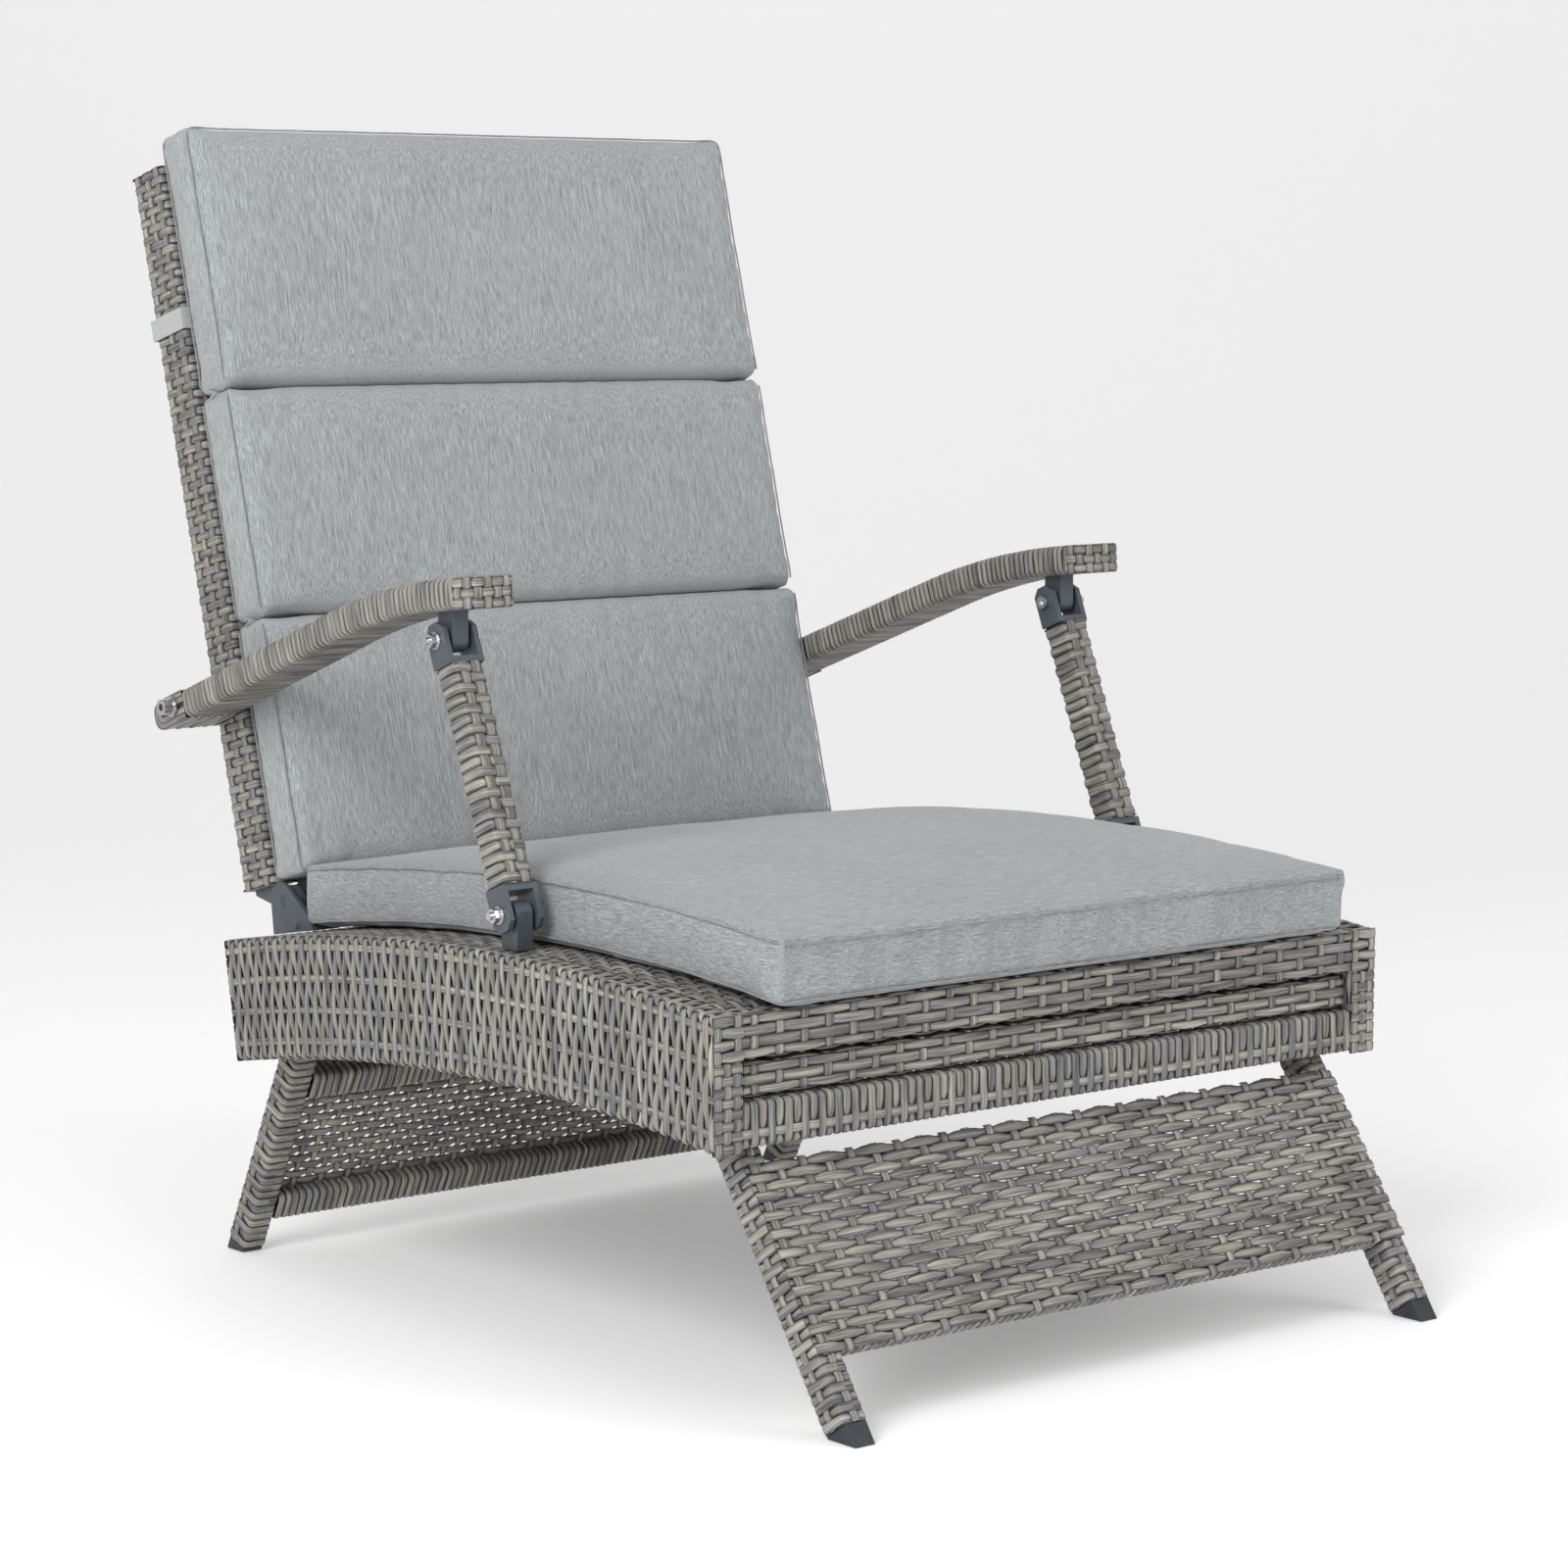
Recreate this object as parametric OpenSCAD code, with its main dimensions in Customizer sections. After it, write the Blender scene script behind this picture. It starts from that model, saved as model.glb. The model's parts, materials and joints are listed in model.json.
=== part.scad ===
// Reclining garden lounger: a woven base with splayed legs, a reclining back on two
// hinges, swinging arms on pivoting posts, a pull-out footrest and box cushions.
// The front faces -Y, the sitter's left is +X, and Z is up. The outlines below measure
// Y from the base's front face, and placed() then moves the chair so that its origin is
// on the ground below the middle of its length.

/* [Base] */
// Overall width of the base
base_w = 650; // [620:1:680]
// Length of the base from its front face to its rear end
base_l = 618; // [600:1:630]
// Height of the woven side rails
rail_h = 96; // [92:1:100]
// Thickness of the woven side rails
rail_t = 25; // [24:1:27]
// Height of the seat deck at the crown of its arch
crown_z = 296; // [290:1:305]
// Distance of the crown of the arch from the front face
crown_y = 242; // [220:1:260]
// Radius of the arch along the seat
arch_r = 2090; // [1900:10:2400]
// Thickness of the woven seat deck
deck_t = 5; // [4:0.5:6]
// Thickness of the wicker wrapped round a tube
wicker_t = 2.5; // [2:0.1:2.5]
// Wall of the frame tubes
wall = 1.5; // [1.2:0.1:2]

/* [Legs] */
// Width of a leg tube
leg_w = 18; // [16:1:18]
// Depth of a front leg tube
front_leg_d = 24; // [22:1:25]
// Depth of a rear leg tube
rear_leg_d = 21; // [18:1:22]
// Lean of the front legs
front_lean = 34.3; // [33:0.1:35]
// Lean of the rear legs
rear_lean = 26.5; // [25:0.1:28]
// Distance of a leg's middle from the chair's middle plane
leg_x = 278.5; // [276:0.5:278.5]
// Distance of the front feet in front of the base
front_foot_y = -89.5; // [-91:0.5:-88]
// Distance of the rear feet behind the base's front face
rear_foot_y = 668.5; // [666:0.5:670]

/* [Back] */
// Distance of the back hinge behind the base's front face
hinge_y = 612; // [608:1:614]
// Height of the back hinge
hinge_z = 289; // [287:1:292]
// Lean of the back when it is upright
back_lean = 15; // [12:0.5:16]
// Width of the back frame
back_w = 550; // [544:1:550]
// Height of the back frame along its slope
back_h = 603; // [580:1:620]
// Depth of the back frame
back_d = 44; // [42:1:46]

/* [Arms and posts] */
// Distance of the arms and posts from the chair's middle plane
arm_x = 302; // [301:0.5:304]
// Width of an arm
arm_w = 50; // [46:1:50]
// Thickness of an arm
arm_t = 23; // [22:1:24]
// Width of a wrapped post
post_w = 27; // [26:0.5:27]
// Distance between a post's two pivots
post_l = 208; // [200:1:212]
// Lean of the posts when the back is upright
post_lean = 21.7; // [20:0.1:23]
// Distance of the post's lower pivot behind the front face
post_y = 257; // [250:1:262]
// Height of the post's lower pivot
post_z = 322; // [320:1:324]

/* [Cushions] */
// Width of the cushions
cushion_w = 556; // [540:1:556]
// Thickness of the seat cushion
seat_pad_t = 50; // [40:1:52]
// Thickness of the back cushion
back_pad_t = 44; // [36:1:46]

/* [Footrest] */
// Length of the footrest
rest_l = 495; // [440:1:500]
// Thickness of the footrest
rest_t = 24.5; // [23:0.5:25]

/* [Hidden] */

wicker = "#9b968c";
coated_steel = "#3f444d";
bright_steel = "#b9bcc0";
black_plastic = "#1f2226";
fabric = "#a5aaaa";
band = "#c9cbca";

LEFT = 1;
RIGHT = -1;
half_w = base_w / 2;
rail_x = half_w - rail_t;
tube = 20;
eps = 0.01;

// arch of the seat
arch_z = crown_z - arch_r;
rear_angle = asin((base_l - crown_y) / arch_r);

// front opening, from the deck's front edge downwards
opening_top = 249;
opening_bottom = 220.5;
lower_rail_z = 187.5;

// footrest, closed
rest_z = 222;
rest_front = 5;
slat_d = 25;
slat_half = 296;
bar_w = 18;
bar_x = 284;
bar_t = 20.5;
shoe_w = 10;
shoe_h = 10;
shoe_l = 40;
shoe_z = 229.5;
channel_x = 284.5;
leg_tube = 16;
leg_axis_y = 75;
leg_axis_z = 231.5;
leg_reach = 229;
leg_gap = 0.6;
pin_r = 4;
running = 0.05;

// hinge, arm and post hardware
ear_t = 3.5;
hinge_pin_r = 5;
tang_t = 6;
back_front = 11;
back_foot = 15;
arm_bolt_r = 5;
arm_pivot_u = 32;
arm_pivot_w = 166;
clevis_w = 31;
clevis_ear = 4.5;
clevis_d = 22;
bolt_r = 3;
tongue_t = 14;
tongue_r = 9.5;
wrap_end = 20;
open_pivot_r = 6.2;

// arm outline
arm_tip_y = 283;
arm_top_z = 564.2;
arm_arc_r = 700;
arm_front_a = 4;
arm_rear_a = 19.5;
arm_arc_y = 290 - arm_arc_r * sin(arm_front_a);
arm_arc_z = arm_top_z - arm_arc_r * cos(arm_front_a);
arm_straight = 257;
arm_steps = 12;
arm_corner = 16;

function back_point(u, w) = [
    hinge_y + u * cos(back_lean) + w * sin(back_lean),
    hinge_z - u * sin(back_lean) + w * cos(back_lean)
];
function post_point(w) = [
    post_y + w * sin(post_lean),
    post_z + w * cos(post_lean)
];
arm_pivot = back_point(arm_pivot_u, arm_pivot_w);
post_top = post_point(post_l);

// ---------- helpers ----------

// Builds a child for the sitter's left, and mirrors it for the right
module on_side(side) {
    mirror([side == LEFT ? 0 : 1, 0, 0]) children();
}

// Stands a (y, z) outline up and gives it a width from x0 to x1
module across(x0, x1) {
    translate([x0, 0, 0]) rotate([90, 0, 90]) linear_extrude(x1 - x0) children();
}

// Box from one corner to the opposite one
module block(low, high) {
    translate(low) cube(high - low);
}

// Rod along X from x0 to x1
module rod(x0, x1, y, z, r) {
    translate([x0, y, z]) rotate([0, 90, 0]) cylinder(h = x1 - x0, r = r, $fn = 48);
}

// Hollow square tube along X
module tube_x(x0, x1, y0, y1, z0, z1) {
    difference() {
        block([x0, y0, z0], [x1, y1, z1]);
        block([x0 - 1, y0 + wall, z0 + wall], [x1 + 1, y1 - wall, z1 - wall]);
    }
}

// Wicker sleeve round a tube along X, where low and high are the tube's corners
module sleeve_x(x0, x1, y0, y1, z0, z1, lift = 0) {
    difference() {
        block([x0, y0 - wicker_t, z0 - wicker_t], [x1, y1 + wicker_t, z1 + wicker_t + lift]);
        block([x0 - 1, y0, z0], [x1 + 1, y1, z1]);
    }
}

// Disc centred on the arch, in the (y, z) plane
module arch_disc(r) {
    translate([crown_y, arch_z]) circle(r = r, $fn = 720);
}

// Outline of everything between the front face and the radial rear end, inset by i
module base_window(i, rear_i) {
    rear = rear_angle - atan(rear_i / arch_r);
    polygon([
        [i, 100],
        [i, 400],
        [crown_y + (arch_r + 100) * sin(rear), arch_z + (arch_r + 100) * cos(rear)],
        [crown_y + (arch_r - 200) * sin(rear), arch_z + (arch_r - 200) * cos(rear)]
    ]);
}

// Band along the arch from depth d0 to depth d1 below the deck's top
module arch_band(d0, d1, i = 0, rear_i = 0) {
    intersection() {
        difference() {
            arch_disc(arch_r - d0);
            arch_disc(arch_r - d1);
        }
        base_window(i, rear_i);
    }
}

// ---------- base ----------

// Tube ladder inside a side rail; gap shrinks every member by that much on each side
module ladder(gap, rear_i) {
    t = wicker_t;
    arch_band(t + gap, t + tube - gap, t + gap, rear_i);
    arch_band(rail_h - t - tube + gap, rail_h - t - gap, t + gap, rear_i);
    intersection() {
        arch_band(t + gap, rail_h - t - gap, t + gap, rear_i);
        for (y = [t, post_y - tube / 2, 420, base_l - 45]) {
            translate([y + gap, 100]) square([tube - 2 * gap, 300]);
        }
    }
}

module side_frame(side) {
    color(coated_steel) on_side(side) difference() {
        across(rail_x + wicker_t, half_w - wicker_t) ladder(0, wicker_t);
        across(rail_x + wicker_t + wall, half_w - wicker_t - wall) ladder(wall, -wicker_t);
    }
}

module side_weave(side) {
    color(wicker) on_side(side) difference() {
        across(rail_x, half_w) arch_band(0, rail_h);
        across(rail_x + wicker_t, half_w - wicker_t)
            arch_band(wicker_t, rail_h - wicker_t, wicker_t, -wicker_t);
    }
}

front_tube_y = [wicker_t, rail_t - wicker_t];
upper_tube_z = [opening_top + wicker_t, opening_top + wicker_t + tube];
lower_tube_z = [lower_rail_z + wicker_t, opening_bottom - wicker_t];

module front_cross_tubes() {
    color(coated_steel) {
        tube_x(-rail_x, rail_x, front_tube_y[0], front_tube_y[1], upper_tube_z[0], upper_tube_z[1]);
        tube_x(-rail_x, rail_x, front_tube_y[0], front_tube_y[1], lower_tube_z[0], lower_tube_z[1]);
    }
}

module front_upper_weave() {
    color(wicker) difference() {
        across(-rail_x, rail_x) intersection() {
            arch_disc(arch_r);
            translate([0, opening_top]) square([rail_t, 60]);
        }
        block([-rail_x - 1, front_tube_y[0], upper_tube_z[0]],
              [rail_x + 1, front_tube_y[1], upper_tube_z[1]]);
    }
}

module front_lower_weave() {
    color(wicker) sleeve_x(-rail_x, rail_x, front_tube_y[0], front_tube_y[1],
                           lower_tube_z[0], lower_tube_z[1]);
}

rear_tube_y = [base_l - 30, base_l - 10];
rear_upper_z = [232, 252];
rear_lower_z = [174, 194];

module rear_cross_tubes() {
    color(coated_steel) {
        tube_x(-rail_x, rail_x, rear_tube_y[0], rear_tube_y[1], rear_upper_z[0], rear_upper_z[1]);
        tube_x(-rail_x, rail_x, rear_tube_y[0], rear_tube_y[1], rear_lower_z[0], rear_lower_z[1]);
    }
}

module rear_weave() {
    color(wicker) sleeve_x(-rail_x, rail_x, rear_tube_y[0], rear_tube_y[1],
                           rear_lower_z[0], rear_upper_z[1]);
}

rib_y = [120, 245, 370, 495];

module seat_ribs() {
    color(coated_steel) for (y = rib_y) {
        difference() {
            across(-rail_x, rail_x) intersection() {
                arch_band(deck_t, deck_t + tube);
                translate([y, 0]) square([tube, 400]);
            }
            across(-rail_x - 1, rail_x + 1) intersection() {
                arch_band(deck_t + wall, deck_t + tube - wall);
                translate([y + wall, 0]) square([tube - 2 * wall, 400]);
            }
        }
    }
}

module seat_weave() {
    color(wicker) across(-rail_x, rail_x) arch_band(0, deck_t, rail_t);
}

module slide_channels() {
    color(coated_steel) for (side = [LEFT, RIGHT]) {
        on_side(side) difference() {
            block([channel_x, rest_front + slat_d + 3, 219], [rail_x, 560, 250]);
            block([channel_x - 1, rail_t, shoe_z - 0.5],
                  [channel_x + shoe_w + 1.5, 561, shoe_z + shoe_h + 0.5]);
        }
    }
}

// ---------- legs ----------

front_end_w = 10;
rear_end_w = 9;
front_leg_top = 214;
rear_leg_top = 198;
panel_t = 5;
leg_half = leg_w / 2 + wicker_t;
panel_half = leg_x - leg_half;

// Puts a leg pair upright in its own frame: u back, w up along the legs
module leg_frame(foot_y, lean) {
    translate([0, foot_y, 0]) rotate([-lean, 0, 0]) children();
}

// Keeps a leg between the ground and its top, clear of the cross rails
module trim_leg(top) {
    difference() {
        intersection() {
            children();
            block([-half_w, -200, 0], [half_w, 900, top]);
        }
        block([-half_w, -1, lower_rail_z - 0.5], [half_w, rail_t + 0.5, top + 1]);
        block([-half_w, rear_tube_y[0] - wicker_t - 0.5, rear_lower_z[0] - wicker_t - 0.5],
              [half_w, base_l, top + 1]);
    }
}

// Lug that joins a leg to the side rail beside it
module leg_lug(y, z) {
    block([leg_x, y - 10, z - 9], [rail_x, y + 10, z + 9]);
}

front_lug = [50, 203];
rear_lug = [571, 187];

module leg_tube_shape(d, foot_y, lean, end_w, top, lug) {
    trim_leg(top) difference() {
        union() {
            leg_frame(foot_y, lean)
                block([leg_x - leg_w / 2, -d / 2, end_w], [leg_x + leg_w / 2, d / 2, 320]);
            leg_lug(lug[0], lug[1]);
        }
        leg_frame(foot_y, lean) block([leg_x - leg_w / 2 + wall, -d / 2 + wall, 0],
                                      [leg_x + leg_w / 2 - wall, d / 2 - wall, 320]);
    }
}

module leg_weave_shape(d, foot_y, lean, end_w, top, lug) {
    trim_leg(top) difference() {
        leg_frame(foot_y, lean) block([leg_x - leg_half, -d / 2 - wicker_t, end_w],
                                      [leg_x + leg_half, d / 2 + wicker_t, 320]);
        leg_frame(foot_y, lean)
            block([leg_x - leg_w / 2, -d / 2, 0], [leg_x + leg_w / 2, d / 2, 330]);
        leg_lug(lug[0], lug[1]);
    }
}

module leg_cap_shape(d, foot_y, lean, end_w) {
    plug = wall + 0.2;
    trim_leg(100) leg_frame(foot_y, lean) {
        block([leg_x - leg_w / 2, -d / 2, end_w - 60], [leg_x + leg_w / 2, d / 2, end_w]);
        block([leg_x - leg_w / 2 + plug, -d / 2 + plug, end_w - 1],
              [leg_x + leg_w / 2 - plug, d / 2 - plug, end_w + 15]);
    }
}

module front_leg(side) {
    color(coated_steel) on_side(side) leg_tube_shape(
        front_leg_d, front_foot_y, front_lean, front_end_w, front_leg_top, front_lug);
}

module front_leg_weave(side) {
    color(wicker) on_side(side) leg_weave_shape(
        front_leg_d, front_foot_y, front_lean, front_end_w, front_leg_top, front_lug);
}

module rear_leg(side) {
    color(coated_steel) on_side(side) leg_tube_shape(
        rear_leg_d, rear_foot_y, -rear_lean, rear_end_w, rear_leg_top, rear_lug);
}

module rear_leg_weave(side) {
    color(wicker) on_side(side) leg_weave_shape(
        rear_leg_d, rear_foot_y, -rear_lean, rear_end_w, rear_leg_top, rear_lug);
}

module foot_caps() {
    color(black_plastic) for (side = [LEFT, RIGHT]) {
        on_side(side) {
            leg_cap_shape(front_leg_d, front_foot_y, front_lean, front_end_w);
            leg_cap_shape(rear_leg_d, rear_foot_y, -rear_lean, rear_end_w);
        }
    }
}

// Hollow bar between a pair of legs
module leg_bar(u0, u1, w0, w1) {
    tube_x(-panel_half, panel_half, u0, u1, w0, w1);
}

front_panel_w = [60, 201];
front_bar = 16;
front_face_u = -front_leg_d / 2 - wicker_t;

module front_panel_rails() {
    u0 = front_face_u + panel_t;
    color(coated_steel) leg_frame(front_foot_y, front_lean) {
        leg_bar(u0, u0 + front_bar, front_panel_w[0], front_panel_w[0] + front_bar);
        leg_bar(u0, u0 + front_bar, front_panel_w[1] - front_bar, front_panel_w[1]);
    }
}

module front_panel_weave() {
    color(wicker) leg_frame(front_foot_y, front_lean)
        block([-panel_half, front_face_u, front_panel_w[0]],
              [panel_half, front_face_u + panel_t, front_panel_w[1]]);
}

rear_bar_w = [34, 152];
rear_bar = 25;
rear_face_u = -rear_leg_d / 2 - wicker_t;

module rear_panel_rails() {
    color(wicker) leg_frame(rear_foot_y, -rear_lean) for (w = rear_bar_w) {
        leg_bar(rear_face_u, rear_face_u + rear_bar, w, w + rear_bar);
    }
}

module rear_panel_weave() {
    u0 = rear_face_u + (rear_bar - panel_t) / 2;
    color(wicker) leg_frame(rear_foot_y, -rear_lean)
        block([-panel_half, u0, rear_bar_w[0] + rear_bar],
              [panel_half, u0 + panel_t, rear_bar_w[1]]);
}

// ---------- hinge and post hardware on the base ----------

back_x = back_w / 2;
bracket_x0 = back_x - 25;
bracket_r = 15;
rivet_at = [hinge_y - 23, hinge_z - 15];

module bracket_ear() {
    difference() {
        union() {
            translate([hinge_y, hinge_z]) circle(r = bracket_r, $fn = 64);
            polygon([
                [hinge_y - 47, hinge_z - 25],
                [hinge_y - 42, hinge_z - 10],
                [hinge_y - 9, hinge_z + 12],
                [hinge_y + bracket_r, hinge_z],
                [hinge_y + 10, hinge_z - 40]
            ]);
        }
        arch_disc(arch_r);
        translate([hinge_y, hinge_z]) circle(r = hinge_pin_r, $fn = 48);
        translate(rivet_at) circle(r = pin_r, $fn = 48);
    }
}

module hinge_brackets() {
    color(coated_steel) for (side = [LEFT, RIGHT]) {
        on_side(side) {
            across(bracket_x0, bracket_x0 + ear_t) bracket_ear();
            across(back_x - ear_t, back_x) bracket_ear();
            across(bracket_x0 + ear_t - eps, back_x - ear_t + eps) difference() {
                intersection() {
                    arch_band(-ear_t, 0);
                    translate([hinge_y - 45, 0]) square([50, 400]);
                }
                translate(rivet_at) circle(r = pin_r, $fn = 48);
            }
        }
    }
}

// Rivet along X with two domed heads
module rivet(y, z, r, head_r, head_t) {
    rod(bracket_x0 - 0.5, back_x + 0.5, y, z, r);
    for (end = [[back_x, 0], [bracket_x0, 180]]) {
        translate([end[0], y, z]) rotate([0, 90 + end[1], 0]) intersection() {
            cylinder(h = head_t, r = head_r, $fn = 48);
            translate([0, 0, head_t - head_r * 1.35]) sphere(r = head_r * 1.35, $fn = 64);
        }
    }
}

module hinge_rivets() {
    color(bright_steel) for (side = [LEFT, RIGHT]) {
        on_side(side) {
            rivet(hinge_y, hinge_z, hinge_pin_r, 7, 1.8);
            rivet(rivet_at[0], rivet_at[1], pin_r, 6, 1.8);
        }
    }
}

module tongue_outline(y, z, hole_r) {
    difference() {
        union() {
            translate([y, z]) circle(r = tongue_r, $fn = 64);
            children();
        }
        translate([y, z]) circle(r = hole_r, $fn = 48);
    }
}

module post_tongues() {
    color(coated_steel) for (side = [LEFT, RIGHT]) {
        on_side(side) across(arm_x - tongue_t / 2, arm_x + tongue_t / 2) difference() {
            tongue_outline(post_y, post_z, bolt_r + running)
                translate([post_y - tongue_r, post_z - 40]) square([2 * tongue_r, 40]);
            arch_disc(arch_r);
        }
    }
}

module seat_cushion() {
    front = -12;
    side_rear = 552;
    rear = 578;
    half = cushion_w / 2;
    inner = bracket_x0 - 2;
    color(fabric) intersection() {
        across(-half, half) difference() {
            arch_disc(arch_r + 0.5 + seat_pad_t);
            arch_disc(arch_r + 0.5);
        }
        linear_extrude(400) polygon([
            [-half, front],
            [half, front],
            [half, side_rear],
            [inner, side_rear + 10],
            [inner, rear],
            [-inner, rear],
            [-inner, side_rear + 10],
            [-half, side_rear]
        ]);
    }
}

// ---------- back ----------

// Back's own frame: u towards the rear, w up the slope, both from the hinge
module back_frame() {
    translate([0, hinge_y, hinge_z]) rotate([-back_lean, 0, 0]) children();
}

back_rear = back_front + back_d;

module back_rail(side) {
    x0 = bracket_x0 + wicker_t;
    x1 = back_x - wicker_t;
    color(coated_steel) difference() {
        on_side(side) back_frame() difference() {
            block([x0, back_front + wicker_t, back_foot + wicker_t],
                  [x1, back_rear - wicker_t, back_h - wicker_t]);
            block([x0 + wall, back_front + wicker_t + wall, back_foot],
                  [x1 - wall, back_rear - wicker_t - wall, back_h - wicker_t - wall]);
        }
        rod(-half_w, half_w, arm_pivot[0], arm_pivot[1], arm_bolt_r);
    }
}

module back_rail_weave(side) {
    color(wicker) difference() {
        on_side(side) back_frame() difference() {
            block([bracket_x0, back_front, back_foot], [back_x, back_rear, back_h]);
            block([bracket_x0 + wicker_t, back_front + wicker_t, back_foot - 1],
                  [back_x - wicker_t, back_rear - wicker_t, back_h - wicker_t]);
        }
        rod(-half_w, half_w, arm_pivot[0], arm_pivot[1], arm_bolt_r);
    }
}

module back_crossbars() {
    u0 = back_front + panel_t;
    color(coated_steel) back_frame() for (w = [back_foot + 8, 210, 395, back_h - tube]) {
        tube_x(-bracket_x0, bracket_x0, u0, u0 + tube, w, w + tube);
    }
}

module back_panel_weave() {
    color(wicker) back_frame()
        block([-bracket_x0, back_front, back_foot], [bracket_x0, back_front + panel_t, back_h]);
}

module hinge_tangs() {
    mid = (bracket_x0 + back_x) / 2;
    u0 = back_front + wicker_t + wall + 0.3;
    u1 = back_rear - wicker_t - wall - 0.3;
    color(coated_steel) for (side = [LEFT, RIGHT]) {
        on_side(side) back_frame() across(mid - tang_t / 2, mid + tang_t / 2) difference() {
            union() {
                circle(r = 12, $fn = 64);
                polygon([
                    [0, 12],
                    [u0, back_foot - 1],
                    [u0, 75],
                    [u1, 75],
                    [u1, back_foot - 4],
                    [2, -11.8]
                ]);
            }
            circle(r = hinge_pin_r + running, $fn = 48);
        }
    }
}

// Part of the back cushion between two heights up the slope
module back_pad(w0, w1) {
    color(fabric) back_frame() block(
        [-cushion_w / 2 + 3, back_front - 2 - back_pad_t, w0],
        [cushion_w / 2 - 3, back_front - 2, w1]
    );
}

module back_cushion_upper() {
    back_pad(411, 624);
}

module back_cushion_middle() {
    back_pad(226, 407);
}

module back_cushion_lower() {
    back_pad(16, 222);
}

module cushion_strap() {
    gap = 0.2;
    thick = 1.4;
    low = 468;
    high = 485;
    color(band) back_frame() difference() {
        block([-back_x - gap - thick, back_front - gap - thick, low],
              [back_x + gap + thick, back_rear + gap + thick, high]);
        block([-back_x - gap, back_front - gap, low - 1],
              [back_x + gap, back_rear + gap, high + 1]);
    }
}

arm_out = arm_x + arm_w / 2;

module arm_pivot_bolts() {
    socket_r = 3.2;
    color(bright_steel) for (side = [LEFT, RIGHT]) {
        on_side(side) difference() {
            union() {
                rod(bracket_x0 - 8, arm_out + 5, arm_pivot[0], arm_pivot[1], arm_bolt_r);
                rod(arm_out + 0.3, arm_out + 1.8, arm_pivot[0], arm_pivot[1], 8.2);
                rod(arm_out + 1.7, arm_out + 10.5, arm_pivot[0], arm_pivot[1], 6.4);
                rod(bracket_x0 - 6, bracket_x0, arm_pivot[0], arm_pivot[1], 8);
            }
            translate([arm_out + 5.5, arm_pivot[0], arm_pivot[1]]) rotate([0, 90, 0])
                cylinder(h = 6, r = socket_r, $fn = 6);
        }
    }
}

// ---------- arms ----------

// Point on an arm's curve at radius r, a degrees back from its crown
function arm_edge(r, a) = [arm_arc_y + r * sin(a), arm_arc_z + r * cos(a)];

// Angle of step k along an arm's curve at radius r, from the tip inset by i
function arm_angle(r, i, k) =
    let (tip = asin((arm_tip_y + i - arm_arc_y) / r))
    tip + k * (arm_rear_a - tip) / arm_steps;

// Side outline of an arm, inset by i on every side
module arm_outline(i) {
    top = arm_arc_r - i;
    low = arm_arc_r - arm_t + i;
    reach = (arm_straight - i) * [cos(arm_rear_a), -sin(arm_rear_a)];
    polygon(concat(
        [for (k = [0:arm_steps]) arm_edge(top, arm_angle(top, i, k))],
        [arm_edge(top, arm_rear_a) + reach],
        [arm_edge(low, arm_rear_a) + reach],
        [for (k = [arm_steps:-1:0]) arm_edge(low, arm_angle(low, i, k))]
    ));
}

// Plan outline of an arm with rounded front corners, inset by i
module arm_plan(i) {
    r = arm_corner - i;
    x0 = arm_x - arm_w / 2 + i;
    x1 = arm_x + arm_w / 2 - i;
    y0 = arm_tip_y + i;
    union() {
        translate([x0, y0 + r]) square([x1 - x0, 600]);
        translate([x0 + r, y0]) square([x1 - x0 - 2 * r, 600]);
        for (x = [x0 + r, x1 - r]) {
            translate([x, y0 + r]) circle(r = r, $fn = 64);
        }
    }
}

module arm_solid(i) {
    intersection() {
        across(arm_x - arm_w / 2 + i, arm_x + arm_w / 2 - i) arm_outline(i);
        translate([0, 0, 350]) linear_extrude(300) arm_plan(i);
    }
}

// Upright stem of the tongue under an arm
module arm_stem(grow) {
    low = grow > 0 ? 530 : post_top[1];
    across(arm_x - tongue_t / 2 - grow, arm_x + tongue_t / 2 + grow)
        translate([post_top[0] - tongue_r - grow, low])
        square([2 * (tongue_r + grow), 546 - low + grow]);
}

module arm_core(side) {
    color(coated_steel) on_side(side) difference() {
        arm_solid(wicker_t);
        arm_stem(0);
        rod(arm_x - arm_w, arm_x + arm_w, arm_pivot[0], arm_pivot[1], arm_bolt_r + running);
    }
}

module arm_tongue(side) {
    color(coated_steel) on_side(side) difference() {
        union() {
            arm_stem(0);
            rod(arm_x - tongue_t / 2, arm_x + tongue_t / 2, post_top[0], post_top[1], tongue_r);
        }
        rod(arm_x - arm_w, arm_x + arm_w, post_top[0], post_top[1], open_pivot_r);
    }
}

module arm_weave(side) {
    color(wicker) on_side(side) difference() {
        arm_solid(0);
        arm_solid(wicker_t);
        arm_stem(0.3);
        rod(arm_x - arm_w, arm_x + arm_w, arm_pivot[0], arm_pivot[1], arm_bolt_r + 0.5);
    }
}

// ---------- posts ----------

// Post's own frame: w up the post from its lower pivot
module post_frame() {
    translate([arm_x, post_y, post_z]) rotate([-post_lean, 0, 0]) children();
}

// Fork at one end of a post, with its pivot at the origin and its stem towards +Z
module clevis() {
    reach = 13;
    clip = 6;
    difference() {
        for (x = [-clevis_w / 2, clevis_w / 2 - clevis_ear]) {
            across(x, x + clevis_ear) polygon([
                [-clevis_d / 2, wrap_end],
                [-clevis_d / 2, -reach + clip],
                [-clevis_d / 2 + clip, -reach],
                [clevis_d / 2 - clip, -reach],
                [clevis_d / 2, -reach + clip],
                [clevis_d / 2, wrap_end]
            ]);
        }
        rod(-clevis_w, clevis_w, 0, 0, bolt_r);
    }
    block([-clevis_w / 2, -clevis_d / 2, wrap_end - 5], [clevis_w / 2, clevis_d / 2, wrap_end]);
}

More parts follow.
